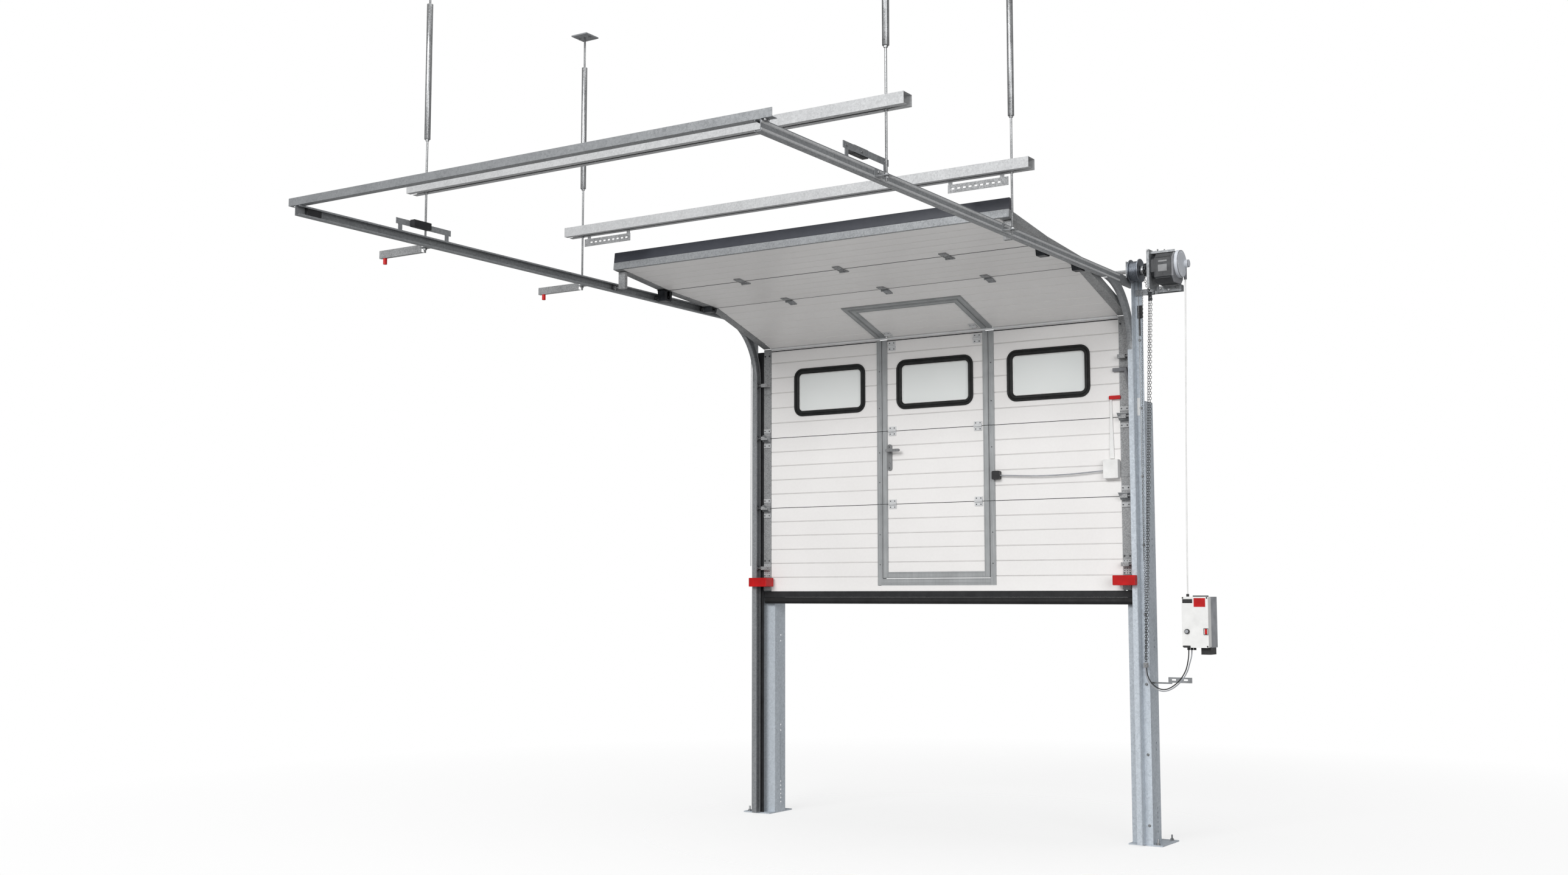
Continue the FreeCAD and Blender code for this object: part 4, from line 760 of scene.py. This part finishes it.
# ---- Chains ----------------------------------------------------------------------------------
def chain(shape, path, pitch, wide, wire):
    """Welded links along a path, each turned a quarter from the last."""
    path = [Vector(point) for point in path]
    runs = [(b - a).length for a, b in zip(path, path[1:])]
    count = int(sum(runs) / pitch)
    for link in range(count):
        reach = (link + 0.5) * sum(runs) / count
        for start, end, run in zip(path, path[1:], runs):
            if reach <= run:
                break
            reach -= run
        way = (end - start).normalized()
        spin = Matrix.Rotation(math.pi / 2 * (link % 2) + 0.5, 4, way)
        flat = spin @ way.orthogonal().normalized()
        centre = start + way * reach
        half = pitch / 2 + wire * 0.4
        straight = half - wide / 2
        angles = [math.pi * (step + 0.5) / 5 for step in range(10)]
        loop = [centre + way * (math.copysign(straight, math.sin(a)) + wide / 2 * math.sin(a))
                + flat * (wide / 2 * math.cos(a)) for a in angles]
        shape.swept(loop, wire / 2, 5, True)
    return shape


FRONT_RUN = [(1520, -137, 3400), (1526, -55, 3300), (1506, -51, 2700), (1449.5, -51, 1096)]
BACK_RUN = [(1441, -51, 1096), (1493, -51, 2700), (1513, -55, 3300), (1520, -63, 3400)]
OVER_WHEEL = [on_circle(1520, SHAFT, 37, math.radians(18 * step)) for step in range(11)]
SLACK = [(1474, -62, 3345), (1459, -62, 2709), (1446, -62, 1098)]
chain(Shape(), BACK_RUN + OVER_WHEEL + FRONT_RUN, 16, 12.5, 3.4).made(
    "hand_chain_links", "frame", "chain_steel", 0, ("hand_chain",), 60)
CHAIN_RIM = ((13, -4), (41, -4), (41, -2), (35, 1), (35, 6), (41, 9), (41, 11), (13, 11))
pockets = Shape()
pockets.turned((1513, *SHAFT), "x", CHAIN_RIM, 40, True)
for step in range(12):
    angle = math.radians(30 * step)
    pockets.swept([on_circle(1516.5, SHAFT, radius, angle) for radius in (30, 40)], 4.5, 8)
pockets.made("chain_pockets", "chain_pulley", "dark_steel_and_painted_shade", 0.4, ("chain_wheel",))
chain(Shape(), SLACK, 12, 7, 2.3).made("slack_chain", "frame", "chain_steel", 0, (), 60)

FUNNEL = ((4.6, 0), (6.4, 0), (6.4, 8), (5.6, 12), (5.6, 40), (7.5, 52), (6.0, 52), (4.6, 40))
guide = Shape()
for x in (1513, 1526):
    guide.turned((x, -55.3, 3292), "z", FUNNEL, 20, True)
guide.block((1498, -60, 3326), (1547, -50, 3330))
guide.block((1544, -60, 3326), (1547, -50, 3352))
guide.made("chain_guide", "frame", "dark_steel_and_painted_shade", 0.6)


# ---- Opener and track trim -------------------------------------------------------------------
end_cap = Shape()
end_cap.turned((1716.5, *OPENER_END), "x", ((70, 0), (84, 0), (84.4, 3), (83.6, 19), (79, 24.6),
                                            (40, 25.2), (22, 24.6)), 56)
end_cap.turned((1741, -46, 3498), "x", ((24, -8), (24, 18), (21, 26), (12, 27.4)), 32)
for degrees in (20, 100, 190, 250, 320):
    end_cap.turned(on_circle(1741, OPENER_END, 68, math.radians(degrees)), "x",
                   ((5, -2), (5, 1.2), (3.6, 2.2), (2.2, 2.2), (2.0, 0.8)), 14)
end_cap.made("opener_end_cap", "frame", "opener_light", 0.8)
case = Shape()
for level in (3400, 3530):
    case.ridge((1606, OPENER_FACE, level), (1696, OPENER_FACE, level), ALONG_Z, 5, 1.6)
for x in (1604, 1650, 1698):
    case.ridge((x, OPENER_FACE, 3412), (x, OPENER_FACE, 3518), ALONG_X, 4, 1.4)
case.made("opener_ribs", "frame", "opener_grey", 0.4)
blanks = Shape()
blanks.block((1622, -185.6, 3498), (1676, -183.6, 3508))
blanks.block((1620, -185.6, 3440), (1676, -183.6, 3482))
blanks.made("opener_plates", "frame", "plate_grey", 0.8)

keeper = Shape()
keeper.prism((1436, TRACK_Y, 3236), "-y", rectangle(17, 40), ((0, 1), (5, 1), (7.5, 0.9)))
keeper.prism((1430, TRACK_Y, 3144), "-y", rectangle(6, 56), ((0, 1), (4, 1), (5, 0.8)))
keeper.made("cable_keeper", "frame", "black_plastic", 1.5)
label = Shape()
label.prism((1413, TRACK_Y, 2649), "-y", rectangle(9, 55), ((0, 1), (0.8, 1), (1.2, 0.96)))
label.made("blank_label", "frame", "white_plastic", 0.4)


# ---- Bolts, screws and small hardware --------------------------------------------------------
# A bolt draws one random number, so the order of the bolts sets how each is turned.
bolts = Shape()
for y in (10, 245):
    for side in SIDES:
        bolts.bolt((side * 1475, y, 8), "z", 19, 10, 14, 22)
for index in range(8):
    for side in SIDES:
        bolts.bolt((side * 1428, -5, 120 + 420 * index), "-y", 13, 6, 9)
for y in (-1880, -3220):
    for side in SIDES:
        x = side * 1455
        for z, along in ((3397, "-z"), (3401, "z"), (3711, "-z"), (3768, "z"), (4010, "-z")):
            bolts.bolt((x, y, z), along, 19, 9, 14)
        for dx in (-40, 40):
            bolts.bolt((x + dx, y, 4975), "-z", 13, 7, 10)
        bolts.bolt((side * 1402.3, y + 12, 3425), outward(side), 13, 6, 8)
for side in SIDES:
    for y in (-4140, -4160):
        bolts.bolt((side * 1415, y, 3441), "-z", 13, 6, 8)
for x, y, z, along, stud in ((1600, -128, 3563, "z", 16), (1634, -104, 3563, "z", 16),
                             (1578, -104, 3563, "z", 12), (1585, -52, 3360, "-y", 0),
                             (1692, -52, 3360, "-y", 0), (1640, -52, 3350, "-y", 0)):
    bolts.bolt((x, y, z), along, 15, 8, 11, stud)
for z in (3350, 3580):
    bolts.bolt((1553, -176, z), "-y", 10, 5, 7)
for z in (3450, 3500):
    bolts.bolt((1408, -30, z), "x", 13, 6, 9)
for side in SIDES:
    for y in (-3470, -3120, -3335):
        bolts.bolt((side * 1394, y, 3494), outward(side), 13, 6, 9)
bolts.bolt((1452, 58, 967), "-y", 8, 4, 6)
bolts.made("bolt_heads", "frame", "zinc_steel", 0, ("fasteners",), 30)

leaf_screws = Shape()
for z in (1632, 1736, 2050, 2154, 2540, 2644, 3175):
    for x in (1303, 1339, -1303, -1339):
        leaf_screws.bolt((x, CAP_Y, z), "-y", 8, 4, 6)
for x, z in mirrored([(HINGE_X, z) for z in (LINE_ONE, LINE_TWO, 3167)]):
    leaf_screws.four_screws(x, z, 16, 20)
for x, z in mirrored([(415, z) for z in (1700, 1900, 2250, 2450, 2750, 3000)]):
    leaf_screws.screw((x, FACE_Y, z), "-y", 4)
for z in (2345, 2485):
    leaf_screws.screw((-338, -10, z), "-y", 4.5)
leaf_screws.made("leaf_screws", "lower_leaf", "chain_steel", 0, (), 30)

KNEE_X = (-720, 0, 720)
for name, place, body, spots in (
        ("upper", FOURTH, "upper_leaf", mirrored([(HINGE_X, 60), (720, 655)]) + [(0, 655)]),
        ("fifth", FIFTH, "top_leaf", [(x, z) for z in (36, 512) for x in KNEE_X]),
        ("sixth", SIXTH, "top_leaf", [(x, 36) for x in KNEE_X])):
    screws = Shape(place)
    for x, z in spots:
        screws.four_screws(x, z, 14, 19)
    screws.made(f"{name}_screws", body, "zinc_steel", 0, (), 30)


# ---- Lock, gaskets and the panels' lines -----------------------------------------------------
lock = Shape()
lock.turned((-338, -10, 2382), "-y", ((9, 0), (9, 2.5), (8, 3.4), (3.2, 3.4), (3.0, 1.5)), 26)
lock.block((-341, -12.6, 2362), (-335, -10, 2378))
lock.made("lock_cylinder", "lower_leaf", "zinc_steel", 0.3)

gasket = Shape()
gasket.block((-PANEL_EDGE, -2.5, 3203), (PANEL_EDGE, -0.2, 3209))
for z in (LINE_ONE, LINE_TWO):
    for x_from, x_to in ((-PANEL_EDGE, -436), (-355, 355), (436, PANEL_EDGE)):
        gasket.block((x_from, -0.9, z - 2), (x_to, -0.2, z + 2))
gasket.made("fold_gasket", "lower_leaf", "seal_dark", 0.5)

# Painted shade: darker strips in the stamped lines of the lower panels stand for the shade in the
# grooves. They stop at the pass door's bars and windows.
DOOR_LEAF = (-353, 353)
BESIDE_BARS = ((-1286, -438), DOOR_LEAF, (438, 1286))
BESIDE_WINDOWS = ((-1286, -1101), (-525, -438), (-353, -288), (288, 353), (438, 525), (1101, 1286))
DOOR_SILL = 1660
SPACES = ((LEAF_LOW, LINE_ONE, 6), (LINE_ONE, LINE_TWO, 5), (LINE_TWO, LINE_THREE, 6))
groove_shade_strips = Shape()
for low, high, count in SPACES:
    for index in range(1, count):
        level = low + (high - low) * index / count
        for span in BESIDE_WINDOWS if abs(level - WINDOW_Z) < WINDOW_HALF[1] else BESIDE_BARS:
            if level > DOOR_SILL or span != DOOR_LEAF:
                groove_shade_strips.block((span[0], 0.5, level - 2.2), (span[1], 2.0, level + 2.2))
groove_shade_strips.made("painted_groove_lines", "lower_leaf", "painted_groove_shade")
for name, place, low, high in (("knee_gasket", FIFTH, 1.6, 6), ("top_gasket", SIXTH, -3, 3)):
    strip = Shape(place)
    strip.block((-PANEL_EDGE, -1.2, low), (PANEL_EDGE, -0.2, high))
    strip.made(name, "top_leaf", "seal_dark", 0.3)


# ---- Controls --------------------------------------------------------------------------------
low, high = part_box("control_box_cover")
face = low.y / MM
left, right, bottom, top = (value / MM for value in (low.x, high.x, low.z, high.z))
knob_x, _, knob_z = middle_of("control_knob")
ring = Shape()
ring.turned((knob_x, face - 0.4, knob_z), "-y",
            ((8, 0), (15, 0), (15, 9), (13.5, 11.5), (11.5, 11.5), (11, 9), (8, 9)), 36, True)
ring.made("knob_ring", "frame", "black_plastic")
cap = Shape()
cap.turned((knob_x, face - 3, knob_z), "-y", ((6, -5), (10.4, 0), (10.4, 12), (9.2, 14)), 30)
cap.block((knob_x - 2, face - 19, knob_z - 9.5), (knob_x + 2, face - 16, knob_z + 9.5))
cap.made("knob_cap", "knob", "grey_plastic", 0.6, ("control_knob",))
low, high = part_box("rocker_switch")
x0, x1, z0, z1 = (value / MM for value in (low.x, high.x, low.z, high.z))
bezel = Shape()
bezel.skin([[(x0 - margin, y, z0 - margin), (x1 + margin, y, z0 - margin),
             (x1 + margin, y, z1 + margin), (x0 - margin, y, z1 + margin)] for margin, y in
            ((4, face), (4, face - 2.5), (1.2, face - 2.5), (1.2, face))], True)
bezel.made("rocker_bezel", "frame", "black_plastic", 0.5)
dark = Shape()
dark.block((left + 5, face - 1.2, top - 38), (left + 66, face + 0.5, top - 14))
dark.block((left + 68, face + 4, top - 1), (right - 6, face + 34, top + 7))
dark.block((left + 8, face - 1.5, bottom - 0.5), (left + 50, face + 8, bottom + 12))
for x in (left + 7, right - 7):
    for z in (bottom + 7, top - 7):
        dark.turned((x, face + 1, z), "-y", ((5, 0), (5, 2), (4, 3), (2, 3), (2, 1.5)), 16)
dark.made("box_trim", "frame", "black_plastic", 0.5)
plate = Shape()
plate.block((left + 74, face - 1.0, top - 60), (left + 144, face + 0.5, top - 8))
plate.made("box_red_plate", "frame", "red_plastic", 0.6)


# ---- Stage and light -------------------------------------------------------------------------
FLOOR_REACH, FLOOR_Z = 60, -0.001
floor = bpy.data.meshes.new("floor")
floor.from_pydata([(x, y, FLOOR_Z) for x, y in rectangle(FLOOR_REACH, FLOOR_REACH)], [],
                  [(0, 1, 2, 3)])
ground = bpy.data.objects.new("floor", floor)
bpy.context.scene.collection.objects.link(ground)
pale = Finish("pale_floor", Roughness=0.9)
pale.colour(pale.noise(0.4, 2), (0.3, (0.985, 0.985, 0.985)), (0.7, (0.99, 0.99, 0.99)))
distance = pale.add("VectorMath")
distance.operation = "LENGTH"
pale.link(pale.coords, distance.inputs[0])
# The floor fades out between 1 m and 7 m from the origin.
pale.link(pale.remap(distance.outputs["Value"], 1.0, 7.0, 0.30, 0.0), pale.shader.inputs["Alpha"])
floor.materials.append(pale.material)

SKY_LIGHT, SKY_SEEN = 0.36, 1.0
world = bpy.data.worlds.new("World")
world.use_nodes = True
sky = world.node_tree
backdrop = sky.nodes["Background"]
backdrop.inputs["Color"].default_value = (1, 1, 1, 1)
eye = sky.nodes.new("ShaderNodeLightPath")
strength = sky.nodes.new("ShaderNodeMix")
strength.inputs[2].default_value = SKY_LIGHT
strength.inputs[3].default_value = SKY_SEEN
sky.links.new(eye.outputs["Is Camera Ray"], strength.inputs["Factor"])
sky.links.new(strength.outputs[0], backdrop.inputs["Strength"])
bpy.context.scene.world = world
bpy.context.scene.view_settings.view_transform = "Standard"


def soft_light(name, place, target, size, watts):
    light = bpy.data.lights.new(name, "AREA")
    light.shape = "RECTANGLE"
    light.size, light.size_y = size
    light.energy = watts
    lamp = bpy.data.objects.new(name, light)
    lamp.location = place
    lamp.rotation_euler = (Vector(target) - Vector(place)).to_track_quat("-Z", "Y").to_euler()
    bpy.context.scene.collection.objects.link(lamp)


soft_light("Key", (0, -21, 11), (0, -1, 2.2), (12, 8), 3000)
soft_light("Fill", (15, -15, 5), (0.5, 0, 2), (9, 8), 1300)
soft_light("Top", (0, -2.5, 9.5), (0, -2, 3), (7, 6), 240)
